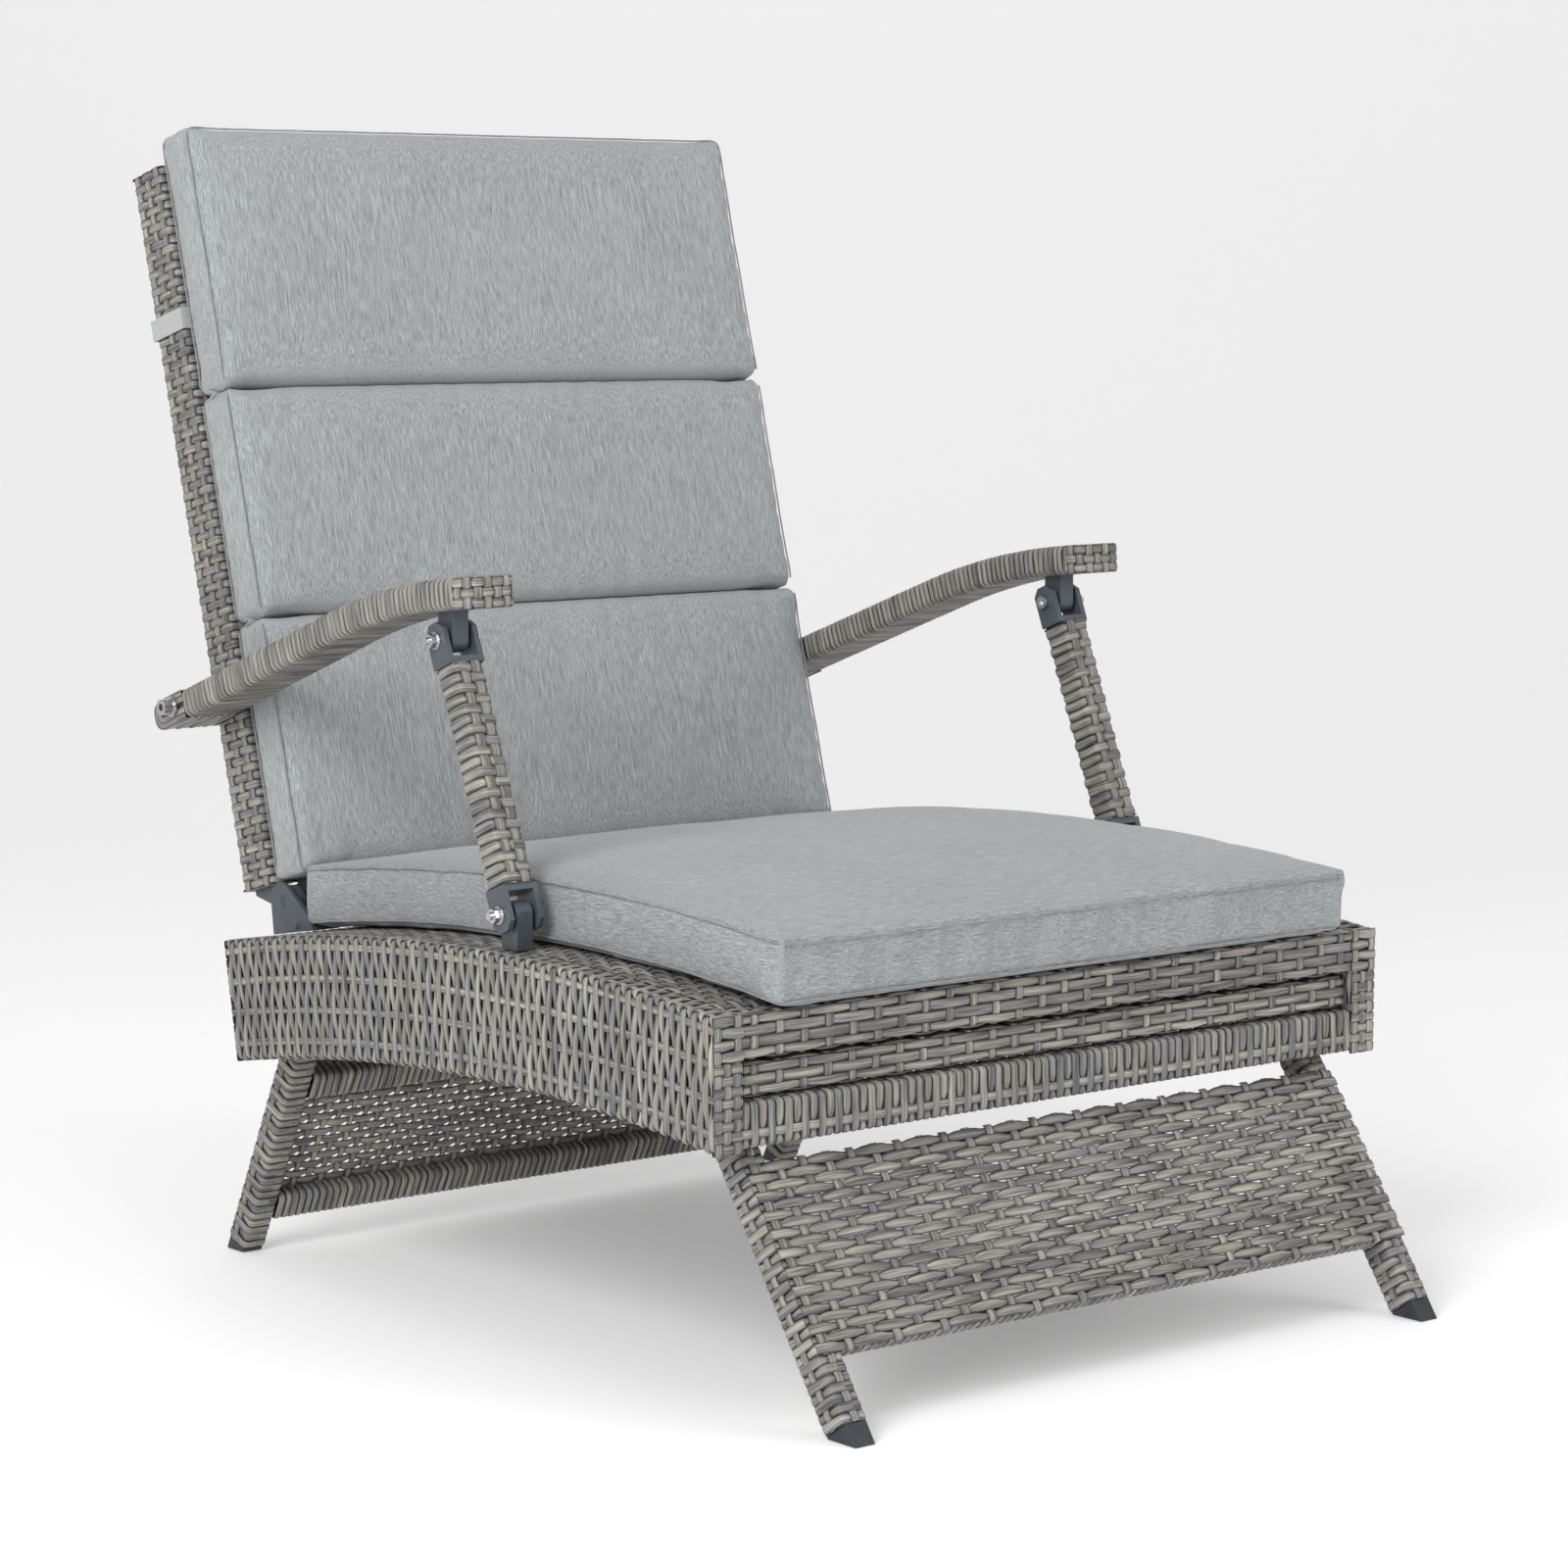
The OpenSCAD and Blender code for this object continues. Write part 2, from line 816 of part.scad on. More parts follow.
module post_body(side) {
    color(coated_steel) on_side(side) post_frame() {
        clevis();
        translate([0, 0, post_l]) rotate([180, 0, 0]) clevis();
        difference() {
            block([-clevis_d / 2, -clevis_d / 2, wrap_end - eps],
                  [clevis_d / 2, clevis_d / 2, post_l - wrap_end + eps]);
            block([-clevis_d / 2 + wall, -clevis_d / 2 + wall, wrap_end + 1],
                  [clevis_d / 2 - wall, clevis_d / 2 - wall, post_l - wrap_end - 1]);
        }
    }
}

module post_weave(side) {
    color(wicker) on_side(side) post_frame() difference() {
        block([-post_w / 2, -post_w / 2, wrap_end + 0.2],
              [post_w / 2, post_w / 2, post_l - wrap_end - 0.2]);
        block([-clevis_d / 2, -clevis_d / 2, 0], [clevis_d / 2, clevis_d / 2, post_l]);
    }
}

module post_bolts(side) {
    edge = clevis_w / 2;
    color(bright_steel) on_side(side) post_frame() for (w = [0, post_l]) {
        difference() {
            union() {
                rod(-edge - 2, edge + 10, 0, w, bolt_r);
                rod(-edge - 4.5, -edge, 0, w, 5.2);
                rod(edge, edge + 1.5, 0, w, 6.5);
                translate([edge + 1.4, 0, w]) rotate([0, 90, 0]) cylinder(h = 5.6, r = 5.7, $fn = 6);
            }
            translate([-edge - 5.5, 0, w]) rotate([0, 90, 0]) cylinder(h = 3.6, r = 2.5, $fn = 6);
        }
    }
}

// ---------- footrest ----------

bar_x0 = bar_x - bar_w;
bar_z = [rest_z, rest_z + bar_t];
rest_rear = rest_front + rest_l;
prop_x = [bar_x0 - leg_gap - leg_tube, bar_x0 - leg_gap];

module footrest_frame() {
    slat_rear = rest_front + slat_d;
    slat_x = slat_half - 4;
    color(coated_steel) difference() {
        union() {
            for (side = [LEFT, RIGHT]) {
                on_side(side) block([bar_x0, slat_rear, bar_z[0]], [bar_x, rest_rear, bar_z[1]]);
            }
            block([-bar_x0 - eps, rest_rear - bar_w, bar_z[0]],
                  [bar_x0 + eps, rest_rear, bar_z[1]]);
            block([-slat_x, rest_front + wicker_t, rest_z + wicker_t],
                  [slat_x, slat_rear + eps, rest_z + rest_t - wicker_t]);
        }
        for (side = [LEFT, RIGHT]) {
            on_side(side) block([bar_x0 + wall, slat_rear + 60, bar_z[0] + wall],
                                [bar_x - wall, rest_rear - wall, bar_z[1] - wall]);
        }
        block([-bar_x0 - eps, rest_rear - bar_w + wall, bar_z[0] + wall],
              [bar_x0 + eps, rest_rear - wall, bar_z[1] - wall]);
        block([-slat_x + wall, rest_front + wicker_t + wall, rest_z + wicker_t + wall],
              [slat_x - wall, slat_rear - wall, rest_z + rest_t - wicker_t - wall]);
        rod(-bar_x + 6, bar_x - 6, leg_axis_y, leg_axis_z, pin_r);
    }
}

module footrest_slat_weave() {
    y1 = rest_front + slat_d;
    color(wicker) difference() {
        block([-slat_half, rest_front, rest_z], [slat_half, y1, rest_z + rest_t]);
        block([-slat_half + 4, rest_front + wicker_t, rest_z + wicker_t],
              [slat_half - 4, y1 + 1, rest_z + rest_t - wicker_t]);
    }
}

module footrest_deck() {
    color(wicker) block([-bar_x, rest_front + slat_d + eps, bar_z[1]],
                        [bar_x, rest_rear, rest_z + rest_t]);
}

module footrest_shoes() {
    color(black_plastic) for (side = [LEFT, RIGHT]) {
        for (y = [rest_rear - shoe_l, rest_rear - 190]) {
            on_side(side) block([bar_x, y, shoe_z], [bar_x + shoe_w, y + shoe_l, shoe_z + shoe_h]);
        }
    }
}

module footrest_leg_pins() {
    color(bright_steel) for (side = [LEFT, RIGHT]) {
        on_side(side) rod(prop_x[0] - 3, bar_x - 6, leg_axis_y, leg_axis_z, pin_r);
    }
}

cap_l = 12;
prop_end = leg_axis_y + leg_reach;
prop_h = leg_tube / 2;
prop_bar_y = prop_end - cap_l - 60;

module footrest_leg() {
    far = prop_end - cap_l;
    color(coated_steel) difference() {
        union() {
            for (side = [LEFT, RIGHT]) {
                on_side(side) {
                    block([prop_x[0], leg_axis_y, leg_axis_z - prop_h],
                          [prop_x[1], far, leg_axis_z + prop_h]);
                    rod(prop_x[0], prop_x[1], leg_axis_y, leg_axis_z, prop_h);
                }
            }
            block([-prop_x[0] - eps, prop_bar_y, leg_axis_z - prop_h],
                  [prop_x[0] + eps, prop_bar_y + leg_tube, leg_axis_z + prop_h]);
        }
        for (side = [LEFT, RIGHT]) {
            on_side(side) {
                rod(prop_x[0] - 1, prop_x[1] + 1, leg_axis_y, leg_axis_z, pin_r + running);
                block([prop_x[0] + wall, leg_axis_y + prop_h + 4, leg_axis_z - prop_h + wall],
                      [prop_x[1] - wall, far + 1, leg_axis_z + prop_h - wall]);
            }
        }
        block([-prop_x[0] - 2, prop_bar_y + wall, leg_axis_z - prop_h + wall],
              [prop_x[0] + 2, prop_bar_y + leg_tube - wall, leg_axis_z + prop_h - wall]);
    }
}

module footrest_leg_caps() {
    color(black_plastic) for (side = [LEFT, RIGHT]) {
        on_side(side) block([prop_x[0], prop_end - cap_l, leg_axis_z - prop_h],
                            [prop_x[1], prop_end, leg_axis_z + prop_h]);
    }
}

// ---------- nodes ----------

front_most = front_foot_y - front_leg_d / 2 / cos(front_lean);
rear_most = back_point(back_front + back_d, back_h)[0];
middle_y = (front_most + rear_most) / 2;

// Moves the chair's middle to the origin
module placed() {
    translate([0, -middle_y, 0]) children();
}

placed() side_frame(LEFT);  // side_frame_left
placed() side_frame(RIGHT);  // side_frame_right
placed() side_weave(LEFT);  // side_weave_left
placed() side_weave(RIGHT);  // side_weave_right
placed() front_cross_tubes();
placed() front_upper_weave();
placed() front_lower_weave();
placed() rear_cross_tubes();
placed() rear_weave();
placed() seat_ribs();
placed() seat_weave();
placed() slide_channels();
placed() front_leg(LEFT);  // front_leg_left
placed() front_leg(RIGHT);  // front_leg_right
placed() front_leg_weave(LEFT);  // front_leg_weave_left
placed() front_leg_weave(RIGHT);  // front_leg_weave_right
placed() front_panel_rails();
placed() front_panel_weave();
placed() rear_leg(LEFT);  // rear_leg_left
placed() rear_leg(RIGHT);  // rear_leg_right
placed() rear_leg_weave(LEFT);  // rear_leg_weave_left
placed() rear_leg_weave(RIGHT);  // rear_leg_weave_right
placed() rear_panel_rails();
placed() rear_panel_weave();
placed() foot_caps();
placed() hinge_brackets();
placed() hinge_rivets();
placed() post_tongues();
placed() seat_cushion();
placed() back_rail(LEFT);  // back_rail_left
placed() back_rail(RIGHT);  // back_rail_right
placed() back_rail_weave(LEFT);  // back_rail_weave_left
placed() back_rail_weave(RIGHT);  // back_rail_weave_right
placed() back_crossbars();
placed() back_panel_weave();
placed() hinge_tangs();
placed() back_cushion_upper();
placed() back_cushion_middle();
placed() back_cushion_lower();
placed() cushion_strap();
placed() arm_pivot_bolts();
placed() arm_core(LEFT);  // arm_core_left
placed() arm_core(RIGHT);  // arm_core_right
placed() arm_tongue(LEFT);  // arm_tongue_left
placed() arm_tongue(RIGHT);  // arm_tongue_right
placed() arm_weave(LEFT);  // arm_weave_left
placed() arm_weave(RIGHT);  // arm_weave_right
placed() post_body(LEFT);  // post_left
placed() post_body(RIGHT);  // post_right
placed() post_weave(LEFT);  // post_weave_left
placed() post_weave(RIGHT);  // post_weave_right
placed() post_bolts(LEFT);  // post_bolts_left
placed() post_bolts(RIGHT);  // post_bolts_right
placed() footrest_frame();
placed() footrest_slat_weave();
placed() footrest_deck();
placed() footrest_shoes();
placed() footrest_leg();
placed() footrest_leg_caps();
placed() footrest_leg_pins();
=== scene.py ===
import json
import math

import bmesh
import bpy
import numpy as np
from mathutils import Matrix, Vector

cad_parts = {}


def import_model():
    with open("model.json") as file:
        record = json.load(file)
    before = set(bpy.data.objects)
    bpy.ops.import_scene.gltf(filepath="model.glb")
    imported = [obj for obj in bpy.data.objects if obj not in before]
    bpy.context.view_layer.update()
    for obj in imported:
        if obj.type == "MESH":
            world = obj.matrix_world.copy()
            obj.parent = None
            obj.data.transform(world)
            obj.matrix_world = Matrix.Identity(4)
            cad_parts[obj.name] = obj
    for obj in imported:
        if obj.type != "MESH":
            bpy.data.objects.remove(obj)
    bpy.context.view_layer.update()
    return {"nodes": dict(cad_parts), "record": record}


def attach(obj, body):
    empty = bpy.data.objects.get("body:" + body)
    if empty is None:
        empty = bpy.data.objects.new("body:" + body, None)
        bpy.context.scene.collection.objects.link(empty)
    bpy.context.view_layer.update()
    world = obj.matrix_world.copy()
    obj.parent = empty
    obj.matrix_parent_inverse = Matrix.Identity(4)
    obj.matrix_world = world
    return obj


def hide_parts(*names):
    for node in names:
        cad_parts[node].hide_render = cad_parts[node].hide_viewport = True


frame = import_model()

# All outlines are in "chair millimetres": Y runs back from the base's front face.
MIDDLE_Y = 358.5838441
PI = math.pi
SIDES = (("left", 1), ("right", -1))


def world(p):
    """Chair millimetres to the frame's metres."""
    return (np.asarray(p, float) - np.array([0.0, MIDDLE_Y, 0.0])) * 0.001


# ---------------------------------------------------------------- dimensions
HALF_W, RAIL_T, RAIL_H = 325.0, 25.0, 96.0
CROWN_Y, CROWN_Z, ARCH_R = 242.0, 296.0, 2090.0     # the arched side rails' top edge
ARCH_Z = CROWN_Z - ARCH_R
REAR_A = math.asin((618.0 - CROWN_Y) / ARCH_R)
CROSS_HALF, SLAT_HALF, PANEL_HALF = 300.0, 296.0, 267.0
LEG_X, BACK_RAIL_X, ARM_X = 278.5, 262.5, 302.0
FRONT_LEAN, REAR_LEAN = math.radians(34.3), math.radians(-26.5)
LEAN = math.radians(15.0)                           # the back in the photo's pose
HINGE = np.array([0.0, 612.0, 289.0])
BACK_UP = np.array([0, math.sin(LEAN), math.cos(LEAN)])
BACK_REAR = np.array([0, math.cos(LEAN), -math.sin(LEAN)])
POST_FOOT, POST_LEAN, POST_L = (257.0, 322.0), math.radians(21.7), 208.0
X_AXIS = np.array([1.0, 0, 0])


# ---------------------------------------------------------------- materials
class Shader:
    """A material being built: its Principled shader, and short ways to add nodes to it."""

    def __init__(self, name):
        self.material = bpy.data.materials.new(name)
        self.material.use_nodes = True
        self.tree = self.material.node_tree
        self.tree.nodes.clear()
        self.bsdf = self.add("BsdfPrincipled")
        self.put(self.add("OutputMaterial").inputs["Surface"], self.bsdf.outputs["BSDF"])

    def add(self, kind, **settings):
        n = self.tree.nodes.new("ShaderNode" + kind)
        for key, value in settings.items():
            setattr(n, key, value)
        return n

    def put(self, socket, value):
        """Link a socket, or set its fixed number, vector or colour."""
        if isinstance(value, bpy.types.NodeSocket):
            self.tree.links.new(value, socket)
        elif isinstance(value, tuple) and socket.type == "RGBA":
            socket.default_value = (*value, 1)
        else:
            socket.default_value = value

    def coordinate(self, kind="Object", tilt=None):
        at = self.add("TexCoord").outputs[kind]
        if tilt is None:
            return at
        n = self.add("Mapping")
        self.put(n.inputs["Vector"], at)
        n.inputs["Rotation"].default_value = (tilt, 0, 0)
        return n.outputs[0]

    def noise(self, vector, scale, detail, roughness=0.5):
        n = self.add("TexNoise")
        for key, value in zip(("Vector", "Scale", "Detail", "Roughness"), (vector, scale, detail, roughness)):
            self.put(n.inputs[key], value)
        return n.outputs["Fac"]

    def math(self, op, *values):
        n = self.add("Math", operation=op)
        for socket, value in zip(n.inputs, values):
            self.put(socket, value)
        return n.outputs[0]

    def scaled(self, vector, factors):
        n = self.add("VectorMath", operation="MULTIPLY")
        self.put(n.inputs[0], vector)
        self.put(n.inputs[1], factors)
        return n.outputs[0]

    def ramp(self, fac, *stops):
        """stops are (place, colour or grey)."""
        stops = [(p, (*(c if isinstance(c, tuple) else (c, c, c)), 1)) for p, c in stops]
        n = self.add("ValToRGB")
        els = n.color_ramp.elements
        els[0].position, els[0].color = stops[0]
        els[1].position, els[1].color = stops[-1]
        for place, colour in stops[1:-1]:
            els.new(place).color = colour
        self.put(n.inputs["Fac"], fac)
        return n.outputs["Color"]

    def mix(self, fac, a, b, kind="MIX"):
        n = self.add("Mix", data_type="RGBA", blend_type=kind)
        for i, value in ((0, fac), (6, a), (7, b)):
            self.put(n.inputs[i], value)
        return n.outputs[2]

    def times(self, a, b):
        return self.mix(1.0, a, b, "MULTIPLY")

    def finish(self, colour, rough, bump, **fixed):
        """rough is a number or (value, lowest, highest); bump is (height, strength, distance)."""
        self.put(self.bsdf.inputs["Base Color"], colour)
        if isinstance(rough, tuple):
            n = self.add("MapRange")
            for key, value in zip(("Value", "To Min", "To Max"), rough):
                self.put(n.inputs[key], value)
            rough = n.outputs[0]
        self.put(self.bsdf.inputs["Roughness"], rough)
        for key, value in fixed.items():
            self.bsdf.inputs[key.replace("_", " ")].default_value = value
        if bump:
            n = self.add("Bump")
            for key, value in zip(("Height", "Strength", "Distance"), bump):
                self.put(n.inputs[key], value)
            self.put(self.bsdf.inputs["Normal"], n.outputs["Normal"])
        return self.material


def wicker_material():
    """Flat wicker strands: wv holds (length along, -1..1 across, strand number)."""
    sh = Shader("wicker")
    sep = sh.add("SeparateXYZ")
    sh.put(sep.inputs[0], sh.add("Attribute", attribute_name="wv").outputs["Vector"])
    along, across, strand = sep.outputs

    def streak(k_along, k_across, detail):
        comb = sh.add("CombineXYZ")
        for socket, value, k in zip(comb.inputs, sep.outputs, (k_along, k_across, 53.0)):
            sh.put(socket, sh.math("MULTIPLY", value, k))
        return sh.noise(comb.outputs[0], 1.0, detail, 0.6)

    def dimmed(*colour):
        return tuple(0.90 * c for c in colour)
    fine = streak(24.0, 4.6, 3.0)
    broad = streak(16.0, 0.9, 2.0)
    base = sh.ramp(strand, (0.0, dimmed(0.190, 0.186, 0.183)), (0.22, dimmed(0.325, 0.309, 0.278)),
                   (0.45, dimmed(0.275, 0.265, 0.248)), (0.62, dimmed(0.228, 0.234, 0.246)),
                   (0.80, dimmed(0.360, 0.345, 0.312)), (1.0, dimmed(0.285, 0.281, 0.277)))
    patch = sh.ramp(broad, (0.28, (0.33, 0.335, 0.352)), (0.50, (0.97, 0.97, 0.96)), (0.72, (1.42, 1.39, 1.30)))
    lines = sh.ramp(fine, (0.32, (0.30, 0.30, 0.305)), (0.45, 0.84), (0.52, (1.05, 1.04, 1.03)),
                    (0.68, (1.46, 1.45, 1.40)))
    colour = sh.times(sh.times(base, patch), lines)
    # painted shade: each strand darkens towards near black at its edges, where it turns down into the shaded gaps
    edge = sh.math("POWER", sh.math("ABSOLUTE", across), 4.0)
    colour = sh.mix(sh.math("MULTIPLY", edge, 0.90), colour, dimmed(0.034, 0.033, 0.032))
    return sh.finish(colour, (fine, 0.36, 0.60), (fine, 0.6, 0.0008))


# painted shade: the near-black colour of the sheet set behind the strands, where only shade falls between them
def painted_shade_material():
    sh = Shader("wicker_painted_shade")
    fac = sh.noise(sh.coordinate(), 140.0, 2.0)
    colour = sh.ramp(fac, (0.3, (0.010, 0.009, 0.008)), (0.7, (0.030, 0.027, 0.024)))
    return sh.finish(colour, 0.8, None, Specular_IOR_Level=0.1)


def fabric_material(name, upright, tone):
    """Heathered cloth. Its slubs run up the back's slope if upright, or else across the chair."""
    sh = Shader(name)
    place = sh.add("TexCoord")
    n = sh.add("Mapping")
    sh.put(n.inputs["Vector"], place.outputs["Object"])
    if upright:
        n.inputs["Rotation"].default_value = (LEAN, 0, 0)
    at = n.outputs[0]

    def noise(scale, detail):
        return sh.noise(sh.scaled(at, scale), 1.0, detail, 0.62)

    def slubs(scale):
        return noise(scale, 3.0), noise(tuple(0.42 * s for s in scale), 2.0)
    slub, slub2 = slubs((2300, 2300, 85) if upright else (95, 2300, 2300))
    if not upright:
        # the end walls are cut from the same cloth, so its slubs turn with them
        normal = sh.add("SeparateXYZ")
        sh.put(normal.inputs[0], place.outputs["Normal"])
        wall = sh.math("GREATER_THAN", sh.math("ABSOLUTE", normal.outputs[0]), 0.72)

        def turn(a, b):
            mx = sh.add("Mix")
            for i, value in ((0, wall), (2, a), (3, b)):
                sh.put(mx.inputs[i], value)
            return mx.outputs[0]
        turned, turned2 = slubs((2300, 95, 2300))
        slub, slub2 = turn(slub, turned), turn(slub2, turned2)
    weave = noise((3400, 3400, 700) if upright else (700, 3400, 3400), 1.0)
    cloud = noise((9, 9, 9), 2.0)
    colour = sh.ramp(slub, *((p, tuple(t * k for t in tone)) for p, k in ((0.30, 0.50), (0.50, 1.00), (0.72, 1.62))))
    colour = sh.times(colour, sh.ramp(slub2, (0.3, (0.90, 0.902, 0.906)), (0.7, (1.08, 1.08, 1.074))))
    colour = sh.times(colour, sh.ramp(weave, (0.3, 0.86), (0.7, 1.12)))
    colour = sh.times(colour, sh.ramp(cloud, (0.3, (0.96, 0.96, 0.965)), (0.7, (1.03, 1.03, 1.025))))
    height = sh.math("ADD", sh.math("MULTIPLY", weave, 0.6), sh.math("MULTIPLY", slub, 0.6))
    return sh.finish(colour, 0.86, (height, 0.30, 0.0006), Specular_IOR_Level=0.25, Sheen_Weight=0.25,
                     Sheen_Roughness=0.5)


def coated_material():
    sh = Shader("slate_powder_coat")
    at = sh.coordinate()
    grain, cloud = sh.noise(at, 1500.0, 2.0), sh.noise(at, 55.0, 3.0)
    colour = sh.ramp(cloud, (0.3, (0.052, 0.062, 0.078)), (0.7, (0.074, 0.086, 0.104)))
    colour = sh.mix(0.25, colour, sh.ramp(grain, (0.35, (0.04, 0.05, 0.065)), (0.7, (0.12, 0.135, 0.155))))
    return sh.finish(colour, (cloud, 0.34, 0.50), (grain, 0.18, 0.0004))


def steel_material():
    sh = Shader("stainless_steel")
    fac = sh.noise(sh.scaled(sh.coordinate(), (300, 1800, 1800)), 1.0, 2.0)
    colour = sh.ramp(fac, (0.3, (0.44, 0.44, 0.45)), (0.7, 0.70))
    return sh.finish(colour, (fac, 0.18, 0.34), (fac, 0.12, 0.0003), Metallic=1.0)


def plastic_material():
    sh = Shader("black_plastic")
    at = sh.coordinate()
    grain, cloud = sh.noise(at, 900.0, 2.0), sh.noise(at, 70.0, 2.0)
    colour = sh.ramp(cloud, (0.3, (0.012, 0.014, 0.020)), (0.7, (0.024, 0.027, 0.036)))
    return sh.finish(colour, (grain, 0.35, 0.55), (grain, 0.2, 0.0003))


def band_material():
    sh = Shader("ribbed_elastic")
    at = sh.coordinate(tilt=LEAN)
    wave_node = sh.add("TexWave", bands_direction="Z")
    for key, value in (("Vector", at), ("Scale", 190.0), ("Distortion", 0.4)):
        sh.put(wave_node.inputs[key], value)
    ribs = wave_node.outputs["Fac"]
    colour = sh.ramp(ribs, (0.2, (0.34, 0.35, 0.35)), (0.8, (0.52, 0.53, 0.525)))
    colour = sh.times(colour, sh.ramp(sh.noise(at, 1400.0, 2.0), (0.3, 0.86), (0.7, 1.1)))
    return sh.finish(colour, 0.8, (ribs, 0.2, 0.0003))


WICKER = wicker_material()
PAINTED_SHADE = painted_shade_material()
COATED = coated_material()
STEEL = steel_material()
PLASTIC = plastic_material()
BAND = band_material()
FABRIC_BACK = fabric_material("heather_fabric_back", True, (0.325, 0.342, 0.350))
FABRIC_SEAT = fabric_material("heather_fabric_seat", False, (0.300, 0.316, 0.318))
SEAM = fabric_material("seam_piping", False, (0.255, 0.268, 0.272))


# ---------------------------------------------------------------- mesh tools
def add_object(name, data):
    ob = bpy.data.objects.new(name, data)
    bpy.context.scene.collection.objects.link(ob)
    return ob


def mesh_object(name, verts, faces, mats, face_mat=None, wv=None):
    """verts [n,3] in chair mm, faces [m,4]; returns a linked object in world metres."""
    me = bpy.data.meshes.new(name)
    faces = np.asarray(faces, np.int32)
    me.vertices.add(len(verts))
    me.vertices.foreach_set("co", world(verts).astype(np.float32).ravel())
    me.loops.add(faces.size)
    me.loops.foreach_set("vertex_index", faces.ravel())
    me.polygons.add(len(faces))
    me.polygons.foreach_set("loop_start", np.arange(0, faces.size, 4, dtype=np.int32))
    me.polygons.foreach_set("loop_total", np.full(len(faces), 4, np.int32))
    for m in mats:
        me.materials.append(m)
    if face_mat is not None:
        me.polygons.foreach_set("material_index", np.asarray(face_mat, np.int32))
    me.polygons.foreach_set("use_smooth", np.full(len(faces), True))
    if wv is not None:
        at = me.attributes.new("wv", "FLOAT_VECTOR", "POINT")
        at.data.foreach_set("vector", np.asarray(wv, np.float32).ravel())
    me.update(calc_edges=True)
    me.validate()
    return add_object(name, me)


class Path:
    """A polyline: its place, and in two dimensions its unit tangent, at a distance along it."""

    def __init__(self, pts):
        self.pts = np.array(pts, float)
        steps = np.linalg.norm(np.diff(self.pts, axis=0), axis=1)
        self.s = np.concatenate([[0], np.cumsum(steps)])
        self.length = self.s[-1]

    def at(self, s):
        return [np.interp(s, self.s, column) for column in self.pts.T]

    def tangent(self, s):
        a, b = self.at(s - 0.5), self.at(s + 0.5)
        da, db = b[0] - a[0], b[1] - a[1]
        n = np.hypot(da, db)
        return da / n, db / n


def arc(cx, cy, r, a0, a1, n=9):
    return [(cx + r * math.cos(a), cy + r * math.sin(a)) for a in np.linspace(a0, a1, n)]


class Tube:
    """Chart of a rectangular tube: s runs along it, q round it from the middle of its +v face."""

    def __init__(self, frame_at, half_u, half_v, corner=3.0):
        self.frame_at = frame_at
        a, b, r = half_u, half_v, corner
        pts, nrm = [(0.0, b)], [(0.0, 1.0)]
        corners = ((a - r, b - r, 90), (a - r, -b + r, 0), (-a + r, -b + r, -90), (-a + r, b - r, -180))
        for cx, cy, a0 in corners:
            a0, a1 = math.radians(a0), math.radians(a0 - 90)
            pts += arc(cx, cy, r, a0, a1)
            nrm += arc(0, 0, 1, a0, a1)
        outline = Path(pts + [(0.0, b)])
        self.pts, self.q, self.round = outline.pts, outline.s, outline.length
        self.nrm = np.array(nrm + [(0.0, 1.0)])

    def lines(self, faces):
        """q of lines along the faces, by their distance from the face's middle towards +u or +v."""
        place = {"+v": (0, 1), "+u": (1, -1), "-v": (2, -1), "-u": (3, 1)}
        return [(place[f][0] * self.round / 4 + place[f][1] * d) % self.round for f in faces for d in faces[f]]

    def __call__(self, s, q, h):
        s, q, h = np.broadcast_arrays(s, q, h)
        q = np.mod(q, self.round)
        pu, pv, nu, nv = (np.interp(q, self.q, k) for k in (*self.pts.T, *self.nrm.T))
        n = np.maximum(np.hypot(nu, nv), 1e-9)
        nu, nv = nu / n, nv / n
        o, eu, ev = self.frame_at(s)
        return o + eu * (pu + nu * h)[..., None] + ev * (pv + nv * h)[..., None]


class Surface:
    """Chart from a function of (s, q) that gives a point and its outward normal."""

    def __init__(self, fn):
        self.fn = fn

    def __call__(self, s, q, h):
        s, q, h = np.broadcast_arrays(s, q, h)
        p, n = self.fn(s, q)
        return p + n * h[..., None]


def vec(x, y, z):
    return np.stack(np.broadcast_arrays(x, y, z), -1).astype(float)


def straight(origin, axis, eu, ev):
    """A tube's frame along a straight axis."""
    origin, axis, eu, ev = (np.asarray(k, float) for k in (origin, axis, eu, ev))

    def at(s):
        s = np.asarray(s, float)
        one = np.ones_like(s)[..., None]
        return origin + axis * s[..., None], eu * one, ev * one
    return at


def plane(origin, es, eq, en):
    origin, es, eq, en = (np.asarray(k, float) for k in (origin, es, eq, en))
    return Surface(lambda s, q: (origin + es * s[..., None] + eq * q[..., None],
                                 en * np.ones_like(s)[..., None]))


def spaced(a, b, pitch):
    """Middles of the even steps, each near pitch, that fill a to b."""
    n = max(1, int(round((b - a) / pitch)))
    return a + (b - a) / n * (np.arange(n) + 0.5)


def over_under(m, n, first=0):
    """Checkerboard of +1 (over) and -1 (under)."""
    return np.where((np.arange(m)[:, None] + np.arange(n) + first) % 2 == 0, 1.0, -1.0)


def wave(x, knots, signs, period=None, sharp=1.5):
    """Rounded square wave through signs [m, k] at knots, which rise."""
    if period:
        knots = np.concatenate([[knots[-1] - period], knots, [knots[0] + period]])
        signs = np.concatenate([signs[:, -1:], signs, signs[:, :1]], 1)
    else:
        step = knots[1] - knots[0]
        knots = np.concatenate([[knots[0] - step], knots, [knots[-1] + step]])
        signs = np.concatenate([-signs[:, :1], signs, -signs[:, -1:]], 1)
    i = np.clip(np.searchsorted(knots, x, side="right") - 1, 0, len(knots) - 2)
    t = np.clip((x - knots[i]) / (knots[i + 1] - knots[i]), 0, 1)
    c = 0.5 - 0.5 * np.cos(PI * t)
    return np.clip((signs[:, i] * (1 - c) + signs[:, i + 1] * c) * sharp, -1, 1)


